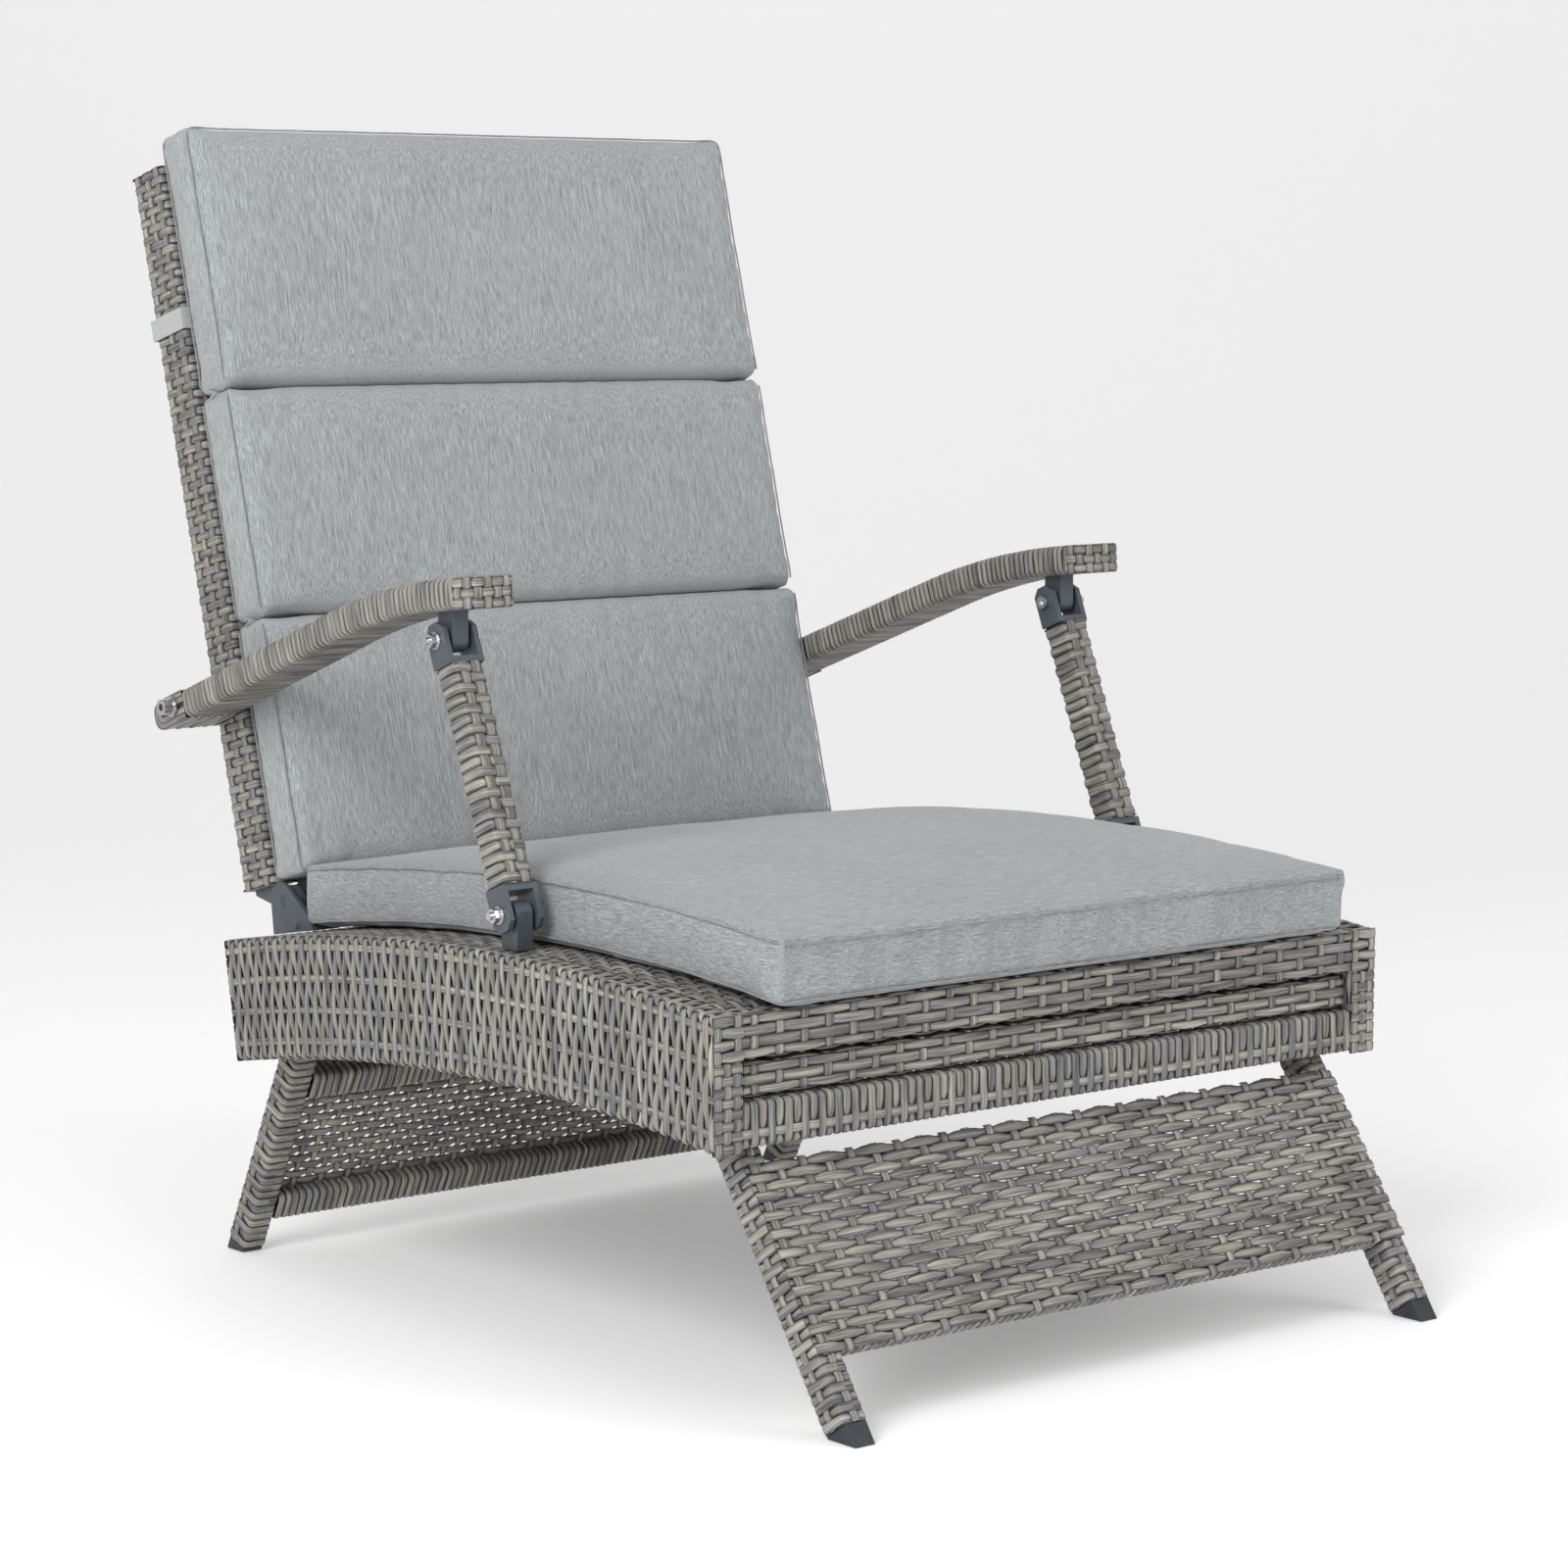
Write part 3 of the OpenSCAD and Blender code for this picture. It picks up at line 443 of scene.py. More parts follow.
class Weave:
    """Collects ribbons into one mesh."""

    def __init__(self, name, seed, side=1):
        self.name, self.side = name, side
        self.rng = np.random.RandomState(seed)
        self.v, self.f, self.m, self.w = [], [], [], []
        self.n = 0

    def add(self, pts, wv, loop_n=False, loop_c=False, mat=0, outward=None):
        """pts [m, n, c, 3]: m sheets of n by c points."""
        m, n, c, _ = pts.shape
        idx = np.arange(m * n * c).reshape(m, n, c) + self.n
        i0, i1 = (idx, np.roll(idx, -1, 1)) if loop_n else (idx[:, :-1], idx[:, 1:])
        if loop_c:
            corners = i0, i1, np.roll(i1, -1, 2), np.roll(i0, -1, 2)
        else:
            corners = i0[:, :, :-1], i1[:, :, :-1], i1[:, :, 1:], i0[:, :, 1:]
        quads = np.stack(corners, -1).reshape(-1, 4)
        if outward is not None:
            k = 1 if loop_c else c // 2
            p = pts[0, n // 2, k]
            normal = np.cross(pts[0, (n // 2 + 1) % n, k] - p, pts[0, n // 2, k + 1] - p)
            if np.dot(normal, outward) < 0:
                quads = quads[:, ::-1]
        self.v.append(pts.reshape(-1, 3))
        self.f.append(quads)
        self.w.append(wv.reshape(-1, 3))
        self.m.append(np.full(len(quads), mat))
        self.n += m * n * c

    def ribbons(self, chart, fam, along, centre, half, height, loop=False, closed=False, crown=0.85,
                thick=0.9, jitter=0.22, ids=None, across=5):
        """fam "s": ribbons cross at centre s and run along q; fam "q" the other way round."""
        along = np.asarray(along, float)
        m, n = centre.shape[0], len(along)
        centre, half, height = (np.broadcast_to(k, (m, n)) for k in (centre, half, height))
        span = along[-1] - along[0] + (along[1] - along[0] if loop else 0)
        phase = self.rng.uniform(0, 2 * PI, (m, 2, 1))
        turns = max(1, round(span / 60.0))
        x = 2 * PI * (along - along[0]) / max(span, 1e-6)
        centre = centre + jitter * np.sin(turns * x + phase[:, 0])
        height = height + 0.35 * jitter * np.sin((turns + 1) * x + phase[:, 1])
        half = half * (1 + 0.04 * self.rng.uniform(-1, 1, (m, 1)))
        T = np.linspace(-1, 1, across)
        off = crown * (1 - np.abs(T) ** 2.5) - crown * 0.5
        if closed:
            T = np.concatenate([T, T[::-1] * 0.92])
            off = np.concatenate([off, off[::-1] * 0.5 - thick])
        else:
            T = np.concatenate([[T[0]], T, [T[-1]]])
            off = np.concatenate([[off[0] - thick * 0.8], off, [off[-1] - thick * 0.8]])
        c = centre[:, :, None] + half[:, :, None] * T
        h = height[:, :, None] + off
        a = np.broadcast_to(along[None, :, None], c.shape)
        s, q = (c, a) if fam == "s" else (a, c)
        one = np.s_[:1, n // 2:n // 2 + 1, 2:3]
        outward = (chart(s[one], q[one], h[one] + 1.0) - chart(s[one], q[one], h[one])).reshape(3)
        if ids is None:
            ids = self.rng.uniform(0, 1, m)
        start = self.rng.uniform(0, 5, (m, 1, 1))
        wv = vec((a - along[0]) * 0.001 + start, T[None, None, :], ids[:, None, None])
        self.add(chart(s, q, h), wv, loop, closed, 0, outward)

    def liner(self, chart, s, q, depth):
        """Painted shade: a near-black sheet behind the strands, standing in for the shade in the gaps between them.
        """
        S, Q = np.meshgrid(np.asarray(s, float), np.asarray(q, float), indexing="ij")
        pts = chart(S, Q, np.full_like(S, -depth))[None]
        self.add(pts, np.zeros(pts.shape), mat=1)

    def object(self, body, *nodes):
        v, f = np.concatenate(self.v), np.concatenate(self.f)
        if self.side < 0:
            v = v * np.array([-1.0, 1, 1])
            f = f[:, ::-1]
        ob = mesh_object(self.name, v, f, [WICKER, PAINTED_SHADE], np.concatenate(self.m), np.concatenate(self.w))
        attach(ob, body)
        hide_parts(*nodes)


def woven_tube(w, tube, wraps, s_range, half, stakes=(), stake_half=2.9, amp=0.42, base=-0.62, step=2.6,
               liner=2.1, pinch=0.12, tilt=0.0, stake_step=2.0, first=0, stake_rise=0.25, reach=11.0,
               swell=0.05, crown=0.85, tones=None):
    """Loops round a tube at wraps, over and under lengthwise stakes."""
    n = max(24, int(round(tube.round / step)))
    q = np.arange(n) * tube.round / n
    stakes = np.asarray(sorted(stakes), float)
    sign = over_under(len(wraps), len(stakes), first)
    if len(stakes):
        f = wave(q, stakes, sign, period=tube.round)
        apart = (q[:, None] - stakes + tube.round / 2) % tube.round - tube.round / 2
        fade = np.clip(1.45 - np.min(np.abs(apart), axis=1) / reach, 0, 1)
        f = f * fade
        level = 0.45 * (1 - fade)[None, :]
    else:
        f = np.zeros((len(wraps), n))
        level = 0.5
    centre = wraps[:, None] + tilt * np.sin(2 * PI * q / tube.round)[None, :]
    hw = half * (1 - pinch * np.clip(-f, 0, 1) + swell * np.clip(f, 0, 1))
    ids = None
    if tones:
        # strands of one tube come from one batch, so their colours stay close
        ids = tones[0] + (tones[1] - tones[0]) * w.rng.uniform(0, 1, len(wraps))
    w.ribbons(tube, "s", q, centre, hw, base + amp * (f + level), loop=True, crown=crown, ids=ids)
    s0, s1 = s_range
    if len(stakes):
        s = np.linspace(s0, s1, max(8, int((s1 - s0) / stake_step)))
        g = wave(s, wraps, -sign.T, sharp=1.3)
        w.ribbons(tube, "q", s, stakes[:, None], stake_half, base + stake_rise + amp * g, jitter=0.1, crown=0.6)
    w.liner(tube, np.linspace(s0 + 0.6, s1 - 0.6, max(2, int((s1 - s0) / 12))), tube.q, liner)


def woven_sheet(w, chart, rows, cols, half_r, half_c, s_range, q_range, amp=0.75, base=0.0, closed=False,
                step=3.2, pinch=0.22, first=0, across=5, col_step=2.2, stake_rise=0.15, swell=0.04,
                crown=0.8):
    """Rows run along s at q = rows, over and under columns at s = cols."""
    rows, cols = np.asarray(rows, float), np.asarray(cols, float)
    sign = over_under(len(rows), len(cols), first)

    def places(a, b, step):
        return np.linspace(a, b, max(6, int((b - a) / step)))
    s, q = places(*s_range, step), places(*q_range, col_step)
    style = dict(closed=closed, across=across, thick=0.8)
    f = wave(s, cols, sign, sharp=1.6)
    hw = half_r * (1 - pinch * np.clip(-f, 0, 1) + swell * np.clip(f, 0, 1))
    w.ribbons(chart, "q", s, rows[:, None], hw, base + amp * f, crown=crown, **style)
    g = wave(q, rows, -sign.T, sharp=1.4)
    w.ribbons(chart, "s", q, cols[:, None], half_c, base + stake_rise + amp * g, jitter=0.1, crown=0.6, **style)


# ---------------------------------------------------------------- base
def arch_pt(theta, r):
    return CROWN_Y + r * np.sin(theta), ARCH_Z + r * np.cos(theta)


R_MID = ARCH_R - RAIL_H / 2
THETA0 = -math.asin(CROWN_Y / R_MID)
RAIL_LEN = R_MID * (REAR_A - THETA0)
RAIL_MID_X = HALF_W - RAIL_T / 2


def rail_frame(s):
    s = np.asarray(s, float)
    y, z = arch_pt(THETA0 + s / R_MID, R_MID)
    phi = REAR_A * np.clip((np.clip(s / RAIL_LEN, 0, 1) - 0.15) / 0.85, 0, 1)
    return vec(RAIL_MID_X, y, z), vec(1, 0 * s, 0), vec(0 * s, np.sin(phi), np.cos(phi))


def build_side_rail(name, side):
    w = Weave("rail_wicker_" + name, 11 if side > 0 else 12, side)
    tube = Tube(rail_frame, RAIL_T / 2, RAIL_H / 2 - 0.3, 3.5)
    stakes = tube.lines({"+u": (38.5, 14.5, -9.5, -33.5), "-u": (36, 12, -12, -36), "+v": (7.0,), "-v": (4.0,)})
    woven_tube(w, tube, spaced(1.0, RAIL_LEN - 0.5, 6.15), (1.0, RAIL_LEN - 0.5), 2.85, stakes, stake_half=3.0,
               amp=0.85, base=-1.0, pinch=0.30, swell=0.20, step=2.7, stake_rise=0.15, reach=40.0, liner=3.2)
    end = dict(amp=0.6, base=-0.1, pinch=0.12)
    ends = (-47.6, 47.6), (-12.4, 12.4)
    three = [-8.2, 0.0, 8.2]
    # front end of the rail: a small basket three strands wide
    cap = plane((RAIL_MID_X, 0.4, 281.5 - RAIL_H / 2), (0, 0, 1), (1, 0, 0), (0, -1, 0))
    woven_sheet(w, cap, three, spaced(-47.5, 15.0, 7.4), 3.6, 3.3, (-47.6, 15.4), ends[1], step=1.6, col_step=1.6,
                **end)
    across_top = plane((RAIL_MID_X, 0.4, 265.5), (1, 0, 0), (0, 0, 1), (0, -1, 0))
    woven_sheet(w, across_top, [-12.2, -4.1, 4.1, 12.2], [-9.0, 9.0], 3.75, 3.4, (-13.2, 12.4), (-16.3, 16.3),
                step=1.8, col_step=1.8, **end)
    w.liner(cap, [-47.5, 47.5], [-12.2, 12.2], 2.0)
    # rear end of the rail
    ey, ez = math.cos(REAR_A), -math.sin(REAR_A)
    cy, cz = arch_pt(REAR_A, R_MID)
    back = plane((RAIL_MID_X, cy - 0.4 * ey, cz - 0.4 * ez), (0, -ez, ey), (1, 0, 0), (0, ey, ez))
    woven_sheet(w, back, three, spaced(-47.5, 47.5, 7.4), 3.6, 3.3, *ends, step=1.8, col_step=1.6, **end)
    w.liner(back, [-47.5, 47.5], [-12.2, 12.2], 1.6)
    w.object("base", "side_weave_" + name)


def beam(y0, y1, z0, z1, corner):
    """Tube along X: u faces the front (-Y), v up."""
    middle = (0, (y0 + y1) / 2, (z0 + z1) / 2)
    return Tube(straight(middle, (1, 0, 0), (0, -1, 0), (0, 0, 1)), (y1 - y0) / 2, (z1 - z0) / 2, corner)


def wrapped_bar(w, tube, half_len, pitch, half, inset=0.0, **style):
    woven_tube(w, tube, spaced(inset - half_len, half_len - inset, pitch), (-half_len, half_len), half, **style)


def build_cross_members():
    band = dict(inset=0.5, stake_half=3.8, amp=0.8, base=-1.1, step=2.0, stake_step=2.4, stake_rise=0.2,
                pinch=0.0, liner=3.0)
    w = Weave("front_upper_wicker", 21)
    t = beam(0.3, 25, 249.2, 281.8, 4.0)
    rows = t.lines({"+u": (-12.2, -4.1, 4.1, 12.2), "+v": (8.0, 0.0, -8.0), "-v": (7.0, -1.0),
                    "-u": (-11, -3, 5)})
    wrapped_bar(w, t, CROSS_HALF, 21.8, 3.5, stakes=rows, **band)
    w.object("base", "front_upper_weave")

    w = Weave("front_lower_wicker", 22)
    t = beam(0.3, 25, 187.7, 220.3, 4.0)
    rows = t.lines({"+u": (-6.0,), "-v": (0.0,), "-u": (0.0,), "+v": (0.0,)})
    wrapped_bar(w, t, CROSS_HALF, 7.5, 3.5, 0.5, stakes=rows, stake_half=3.2, amp=0.75, base=-0.95, step=1.9,
                pinch=0.36, reach=6.0, stake_rise=0.45, crown=1.2, liner=3.0)
    w.object("base", "front_lower_weave")

    w = Weave("slat_wicker", 23)
    t = beam(5.3, 30, 222.2, 246.3, 3.5)
    rows = t.lines({"+u": (-8.0, 0.0, 8.0), "+v": (7.5, -0.5, -8.0), "-v": (7.5, -0.5, -8.0)})
    band.update(stake_half=3.75, amp=0.75, base=-1.05, liner=2.8)
    wrapped_bar(w, t, SLAT_HALF, 21.8, 3.5, stakes=rows, first=1, **band)
    for sx in (-1, 1):
        end = plane((sx * SLAT_HALF, 17.6, 234.2), (0, 1, 0), (0, 0, 1), (sx, 0, 0))
        woven_sheet(w, end, [-8.0, 0.0, 8.0], [-8, 0, 8], 3.7, 3.2, (-12, 12), (-11.7, 11.7), amp=0.4,
                    base=-0.4, step=1.8, pinch=0.05, col_step=1.6)
        w.liner(end, [-12, 12], [-11.5, 11.5], 1.5)
    w.object("footrest", "footrest_slat_weave")

    w = Weave("base_rear_wicker", 24)
    t = beam(585.7, 610.3, 171.7, 254.3, 4.0)
    rows = t.lines({"-u": (-32, -12, 9, 30), "+u": (-30, -8, 14, 34), "-v": (0.0,), "+v": (0.0,)})
    wrapped_bar(w, t, CROSS_HALF, 6.5, 2.95, 0.5, stakes=rows, stake_half=3.0, amp=0.8, base=-1.0, step=3.0,
                pinch=0.3, swell=0.18, stake_rise=0.15, reach=40.0, liner=3.2)
    w.object("base", "rear_weave")


def build_decks():
    coarse = dict(step=3.4, across=3, col_step=3.7)
    front_a = math.asin(CROWN_Y / ARCH_R)
    s0, s1 = 22.5, ARCH_R * (REAR_A + front_a) - 1.0

    def arched(s, q):
        th = s / ARCH_R - front_a
        y, z = arch_pt(th, ARCH_R - 1.6 - 3.2 * np.clip((36.0 - s) / 13.0, 0, 1) ** 2)
        return vec(q, y, z), vec(0 * s, np.sin(th), np.cos(th))
    w = Weave("deck_wicker", 25)
    chart = Surface(arched)
    woven_sheet(w, chart, spaced(-300, 300, 7.4), spaced(s0, s1, 13.0), 3.45, 2.9, (s0, s1), (-300, 300),
                amp=0.55, **coarse)
    w.liner(chart, np.linspace(s0, s1, 40), [-300, 300], 2.4)
    w.object("base", "seat_weave")

    w = Weave("footrest_deck_wicker", 26)
    chart = plane((0, 30, 246.0), (0, 1, 0), (1, 0, 0), (0, 0, 1))
    woven_sheet(w, chart, spaced(-284, 284, 7.4), spaced(0.5, 469.5, 13.0), 3.45, 2.9, (0, 470), (-284, 284),
                amp=0.5, base=-0.7, **coarse)
    w.liner(chart, [0, 470], [-284, 284], 2.6)
    w.object("footrest", "footrest_deck")


# ---------------------------------------------------------------- legs
def leg_axes(lean, foot_y):
    c, s = math.cos(lean), math.sin(lean)
    return np.array([0, foot_y, 0.0]), np.array([0, s, c]), np.array([0, c, -s])


LEG_STYLE = dict(amp=0.75, base=-1.0, pinch=0.12, stake_rise=0.25, crown=0.7, liner=2.8)


def build_front_legs():
    row, panel_low = 7.05, 60.0
    o, up, rear = leg_axes(FRONT_LEAN, -89.5)
    for name, side in SIDES:
        w = Weave("front_leg_wicker_" + name, 31 + side, side)
        t = Tube(straight(o + LEG_X * X_AXIS + rear * 0.3, up, X_AXIS, -rear), 11.3, 14.0, 4.5)
        wraps = panel_low + row * (np.arange(-7, 26) + 0.5)
        wraps = wraps[(wraps > 12.5) & (wraps < 232)]
        k0 = int(round((wraps[0] - panel_low) / row - 0.5))
        stakes = t.lines({"+v": (0.0,), "+u": (-1.0,), "-u": (-1.0,), "-v": (0.0,)})
        woven_tube(w, t, wraps, (10.2, 234.5), 3.42, stakes, stake_half=3.5, step=1.9, first=k0 % 2, **LEG_STYLE)
        w.object("base", "front_leg_weave_" + name)
    w = Weave("front_panel_wicker", 33)
    chart = plane(o - rear * 14.6, X_AXIS, up, -rear)
    woven_sheet(w, chart, panel_low + row * (np.arange(20) + 0.5), np.arange(-13, 14) * 21.7, 3.72, 3.7,
                (-289.4, 289.4), (59.0, 202.0), amp=0.95, base=-0.5, closed=True, step=2.2, pinch=0.24,
                col_step=1.8, crown=1.0, swell=0.06)
    for height, half_v in ((66.5, 7.6), (194.5, 6.6)):
        bar = Tube(straight(o - rear * 4.2 + up * height, X_AXIS, rear, up), 8.2, half_v, 4.0)
        wrapped_bar(w, bar, PANEL_HALF, 7.2, 3.4, step=3.0, base=-1.2)
    w.object("base", "front_panel_weave", "front_panel_rails")


def build_rear_legs():
    o, up, rear = leg_axes(REAR_LEAN, 668.5)
    for name, side in SIDES:
        w = Weave("rear_leg_wicker_" + name, 36 + side, side)
        t = Tube(straight(o + LEG_X * X_AXIS, up, X_AXIS, -rear), 11.3, 12.8, 4.5)
        stakes = t.lines({"+u": (-3.0,), "-u": (-3.0,), "-v": (0.0,)})
        woven_tube(w, t, spaced(10.0, 212.0, 6.9), (9.2, 213.0), 3.32, stakes, stake_half=3.4, step=2.0,
                   **LEG_STYLE)
        w.object("base", "rear_leg_weave_" + name)
    w = Weave("rear_panel_wicker", 39)
    mid = o - rear * 0.5
    for low in (34.0, 152.0):
        bar = Tube(straight(mid + up * (low + 12.5), X_AXIS, -rear, up), 12.3, 12.3, 5.0)
        wrapped_bar(w, bar, PANEL_HALF, 6.6, 3.05, base=-0.7, crown=1.2, liner=2.8)
    chart = plane(mid + rear * 0.5, X_AXIS, up, -rear)
    woven_sheet(w, chart, spaced(58.0, 153.0, 7.9), np.arange(-20, 21) * 13.1, 3.6, 2.8, (-267.5, 267.5),
                (57.0, 154.0), amp=0.9, base=0.2, closed=True, step=2.4, crown=0.9)
    w.object("base", "rear_panel_weave", "rear_panel_rails")


# ---------------------------------------------------------------- back
def on_back(x, u, w):
    """Chair mm of a place x across, u to the rear of the hinge line and w up the back."""
    x, u, w = (np.asarray(k)[..., None] for k in (x, u, w))
    return HINGE + u * BACK_REAR + w * BACK_UP + x * X_AXIS


def build_back():
    rail_mid = on_back(BACK_RAIL_X, 33.0, 0.0)
    for name, side in SIDES:
        w = Weave("back_rail_wicker_" + name, 41 + side, side)
        t = Tube(straight(rail_mid, BACK_UP, X_AXIS, -BACK_REAR), 12.3, 21.8, 4.0)
        stakes = t.lines({"+u": (-14.0, 0.0, 14.0), "-u": (-14.0, 0.0, 14.0), "+v": (0.0,), "-v": (0.0,)})
        woven_tube(w, t, spaced(15.5, 602.5, 7.05), (15.0, 603.0), 3.4, stakes, stake_half=4.2, amp=0.7,
                   base=-0.95, step=2.1, pinch=0.06, crown=0.6, liner=2.8, reach=14.0)
        for height, up in ((602.6, 1), (15.4, -1)):
            end = plane(rail_mid + BACK_UP * height, BACK_REAR, X_AXIS, up * BACK_UP)
            woven_sheet(w, end, [-8.2, 0, 8.2], spaced(-21.5, 21.5, 7.1), 3.7, 3.2, (-21.6, 21.6),
                        (-12.1, 12.1), amp=0.4, base=-0.3, step=1.8, pinch=0.05, col_step=1.6)
            w.liner(end, [-21.4, 21.4], [-12, 12], 1.5)
        w.object("back", "back_rail_weave_" + name)
    w = Weave("back_panel_wicker", 44)
    chart = plane(on_back(0, 13.2, 0), X_AXIS, BACK_UP, -BACK_REAR)
    woven_sheet(w, chart, spaced(15, 603, 7.4), np.arange(-19, 20) * 13.1, 3.45, 2.8, (-250.5, 250.5), (15, 603),
                amp=0.7, closed=True, step=3.3, across=3, col_step=3.7, pinch=0.2)
    w.object("back", "back_panel_weave")
    w = Weave("back_crossbar_wicker", 45)
    for low in (23.0, 210.0, 395.0, 583.0):
        bar = Tube(straight(on_back(0, 25.2, low + 10), X_AXIS, BACK_REAR, BACK_UP), 9.9, 9.9, 4.0)
        wrapped_bar(w, bar, 250, 6.7, 3.2, step=2.8, base=-0.5)
    w.object("back", "back_crossbars")


# ---------------------------------------------------------------- arms and posts
ARM_R, ARM_T, ARM_W = 700.0, 23.0, 24.8             # bend radius of the top, depth, half width
ARM_V = ARM_T / 2 - 0.1
ARM_RM = ARM_R - ARM_T / 2
ARM_YC = 290 - ARM_R * math.sin(math.radians(4))
ARM_ZC = 564.2 - ARM_R * math.cos(math.radians(4))
ARM_A1 = math.radians(19.5)
ARM_A0 = math.asin((283 - ARM_YC) / ARM_RM)
ARM_BEND = ARM_RM * (ARM_A1 - ARM_A0)
ARM_LEN = ARM_BEND + 257.0
ARM_TAIL = ARM_LEN - 46.0                           # the wraps end here


def arm_frame(s):
    s = np.asarray(s, float)
    a = ARM_A0 + np.clip(s, None, ARM_BEND) / ARM_RM
    extra = np.clip(s - ARM_BEND, 0, None)
    y = ARM_YC + ARM_RM * np.sin(a) + extra * np.cos(a)
    z = ARM_ZC + ARM_RM * np.cos(a) - extra * np.sin(a)
    return vec(ARM_X, y, z), vec(1, 0 * s, 0), vec(0 * s, np.sin(a), np.cos(a))


def arm_front(w):
    """A basket that turns round the arm's front corners."""
    r = 15.5
    path = Path([(-ARM_W, 17.5)] + arc(r - ARM_W, r, r, -PI, -PI / 2) + arc(ARM_W - r, r, r, -PI / 2, 0)
                + [(ARM_W, 17.5)])

    def band(s, q):
        (x, y), (dx, dy) = path.at(s), path.tangent(s)
        o, eu, ev = arm_frame(y)
        return o + eu * x[..., None] + ev * q[..., None], eu * dy[..., None] + vec(0 * x, -dx, 0)
    chart = Surface(band)
    ends = (0.0, path.length)
    woven_sheet(w, chart, [-7.4, 0.0, 7.4], spaced(1.0, path.length - 1.0, 8.3), 3.35, 3.5, ends, (-11.2, 11.2),
                amp=0.8, base=-0.75, step=1.5, pinch=0.06, col_step=1.4, first=1, stake_rise=0.1, crown=1.0)
    w.liner(chart, np.linspace(*ends, 24), [-11, 11], 2.6)

    def width_at(y):
        d = np.clip(r - y, 0, r)
        return ARM_W - r + np.sqrt(np.clip(r * r - d * d, 0, None))
    for up in (1, -1):
        def face(s, q, up=up):
            o, eu, ev = arm_frame(s)
            x = q * width_at(s) / ARM_W
            return o + eu * x[..., None] + ev * (up * ARM_V), ev * up
        chart = Surface(face)
        woven_sheet(w, chart, [-20.4, -12.2, -4.1, 4.1, 12.2, 20.4], [4.0, 11.5], 3.65, 3.3, (0.6, 17.5),
                    (-24, 24), amp=0.7, base=-0.7, step=1.4, pinch=0.06, col_step=1.8)
        w.liner(chart, np.linspace(0.6, 17.0, 10), [-24, 24], 2.6)


def arm_rear(w):
    """Strands that run lengthwise and turn round the end, and U strands round the bolt."""
    r = 9.0
    path = Path([(ARM_V, ARM_TAIL)] + arc(ARM_V - r, ARM_LEN - r, r, 0, PI / 2)
                + arc(r - ARM_V, ARM_LEN - r, r, PI / 2, PI) + [(-ARM_V, ARM_TAIL)])

    def tail(s, q):
        (v, y), (dv, dy) = path.at(s), path.tangent(s)
        o, eu, ev = arm_frame(y)
        rear = np.cross(eu, ev)
        rear = np.where(rear[..., 1:2] < 0, -rear, rear)
        return o + eu * q[..., None] + ev * v[..., None], ev * dy[..., None] - rear * dv[..., None]
    chart = Surface(tail)
    xs = spaced(-24.6, 24.6, 6.15)
    s = np.arange(0, path.length, 1.8)
    height = -0.45 + 0.25 * np.sin(s / 9.0) * over_under(len(xs), 1, 1)
    w.ribbons(chart, "q", s, xs[:, None], 2.95, height)
    w.liner(chart, np.linspace(0, path.length, 30), [-24.5, 24.5], 1.9)
    n, run, half = 40, 34.0, 2.45
    T = np.array([-1, -1, -0.5, 0, 0.5, 1, 1.0])
    H = np.array([-1.0, -0.12, 0.08, 0.15, 0.08, -0.12, -1.0]) - 0.35
    for sx in (1, -1):
        def face(s, q, sx=sx):
            o, eu, ev = arm_frame(s)
            return o + eu * (sx * ARM_W) + ev * q[..., None], eu * sx
        for r in (9.3, 4.4):
            d = np.linspace(0, 2 * run + PI * r, n)
            turn = np.clip((d - run) / r, 0, PI)
            cs = ARM_TAIL + np.minimum(d, run) - np.clip(d - run - PI * r, 0, None) + r * np.sin(turn)
            cq = r * np.cos(turn)
            ts, tq = np.gradient(cs), np.gradient(cq)
            ln = np.hypot(ts, tq)
            pts = Surface(face)(cs[:, None] - (tq / ln)[:, None] * T * half,
                                cq[:, None] + (ts / ln)[:, None] * T * half, H)
            wv = vec(np.arange(n)[:, None] * 0.002, T, w.rng.uniform())
            w.add(pts[None], wv[None], outward=sx * X_AXIS)


def build_arm(name, side):
    w = Weave("arm_wicker_" + name, 51 + side, side)
    t = Tube(arm_frame, ARM_W, ARM_V, 5.5)
    woven_tube(w, t, spaced(16.5, ARM_TAIL, 5.75), (16.0, ARM_LEN - 3.0), 2.52, step=2.4, base=-0.75, tilt=0.6,
               liner=2.8, crown=1.6, tones=(0.24, 0.50))
    arm_front(w)
    arm_rear(w)
    w.object("arm_" + name, "arm_weave_" + name)

    w = Weave("post_wicker_" + name, 55 + side, side)
    c, s = math.cos(POST_LEAN), math.sin(POST_LEAN)
    foot, up, front = np.array([ARM_X, *POST_FOOT]), np.array([0, s, c]), np.array([0, -c, s])
    t = Tube(straight(foot, up, X_AXIS, front), 13.4, 13.4, 4.5)
    stakes = t.lines({"+v": (5.6, -5.6), "-v": (5.6, -5.6)})
    woven_tube(w, t, spaced(20.4, POST_L - 20.4, 8.1), (20.2, POST_L - 20.2), 3.9, stakes, stake_half=4.2,
               amp=0.75, base=-1.0, step=1.7, pinch=0.10, tilt=1.2, crown=1.1, liner=3.0, reach=9.0,
               tones=(0.20, 0.56))
    square = (-12.8, 12.8)
    for height, sign in ((20.6, -1), (POST_L - 20.6, 1)):
        end = plane(foot + up * height, X_AXIS, front, sign * up)
        woven_sheet(w, end, [-8.6, 0, 8.6], [-8.6, 0, 8.6], 3.9, 3.9, square, square, amp=0.3, base=-0.4,
                    step=2.0, pinch=0.05, col_step=2.0)
        w.liner(end, [-12.6, 12.6], [-12.6, 12.6], 1.2)
    w.object("post_" + name, "post_weave_" + name)


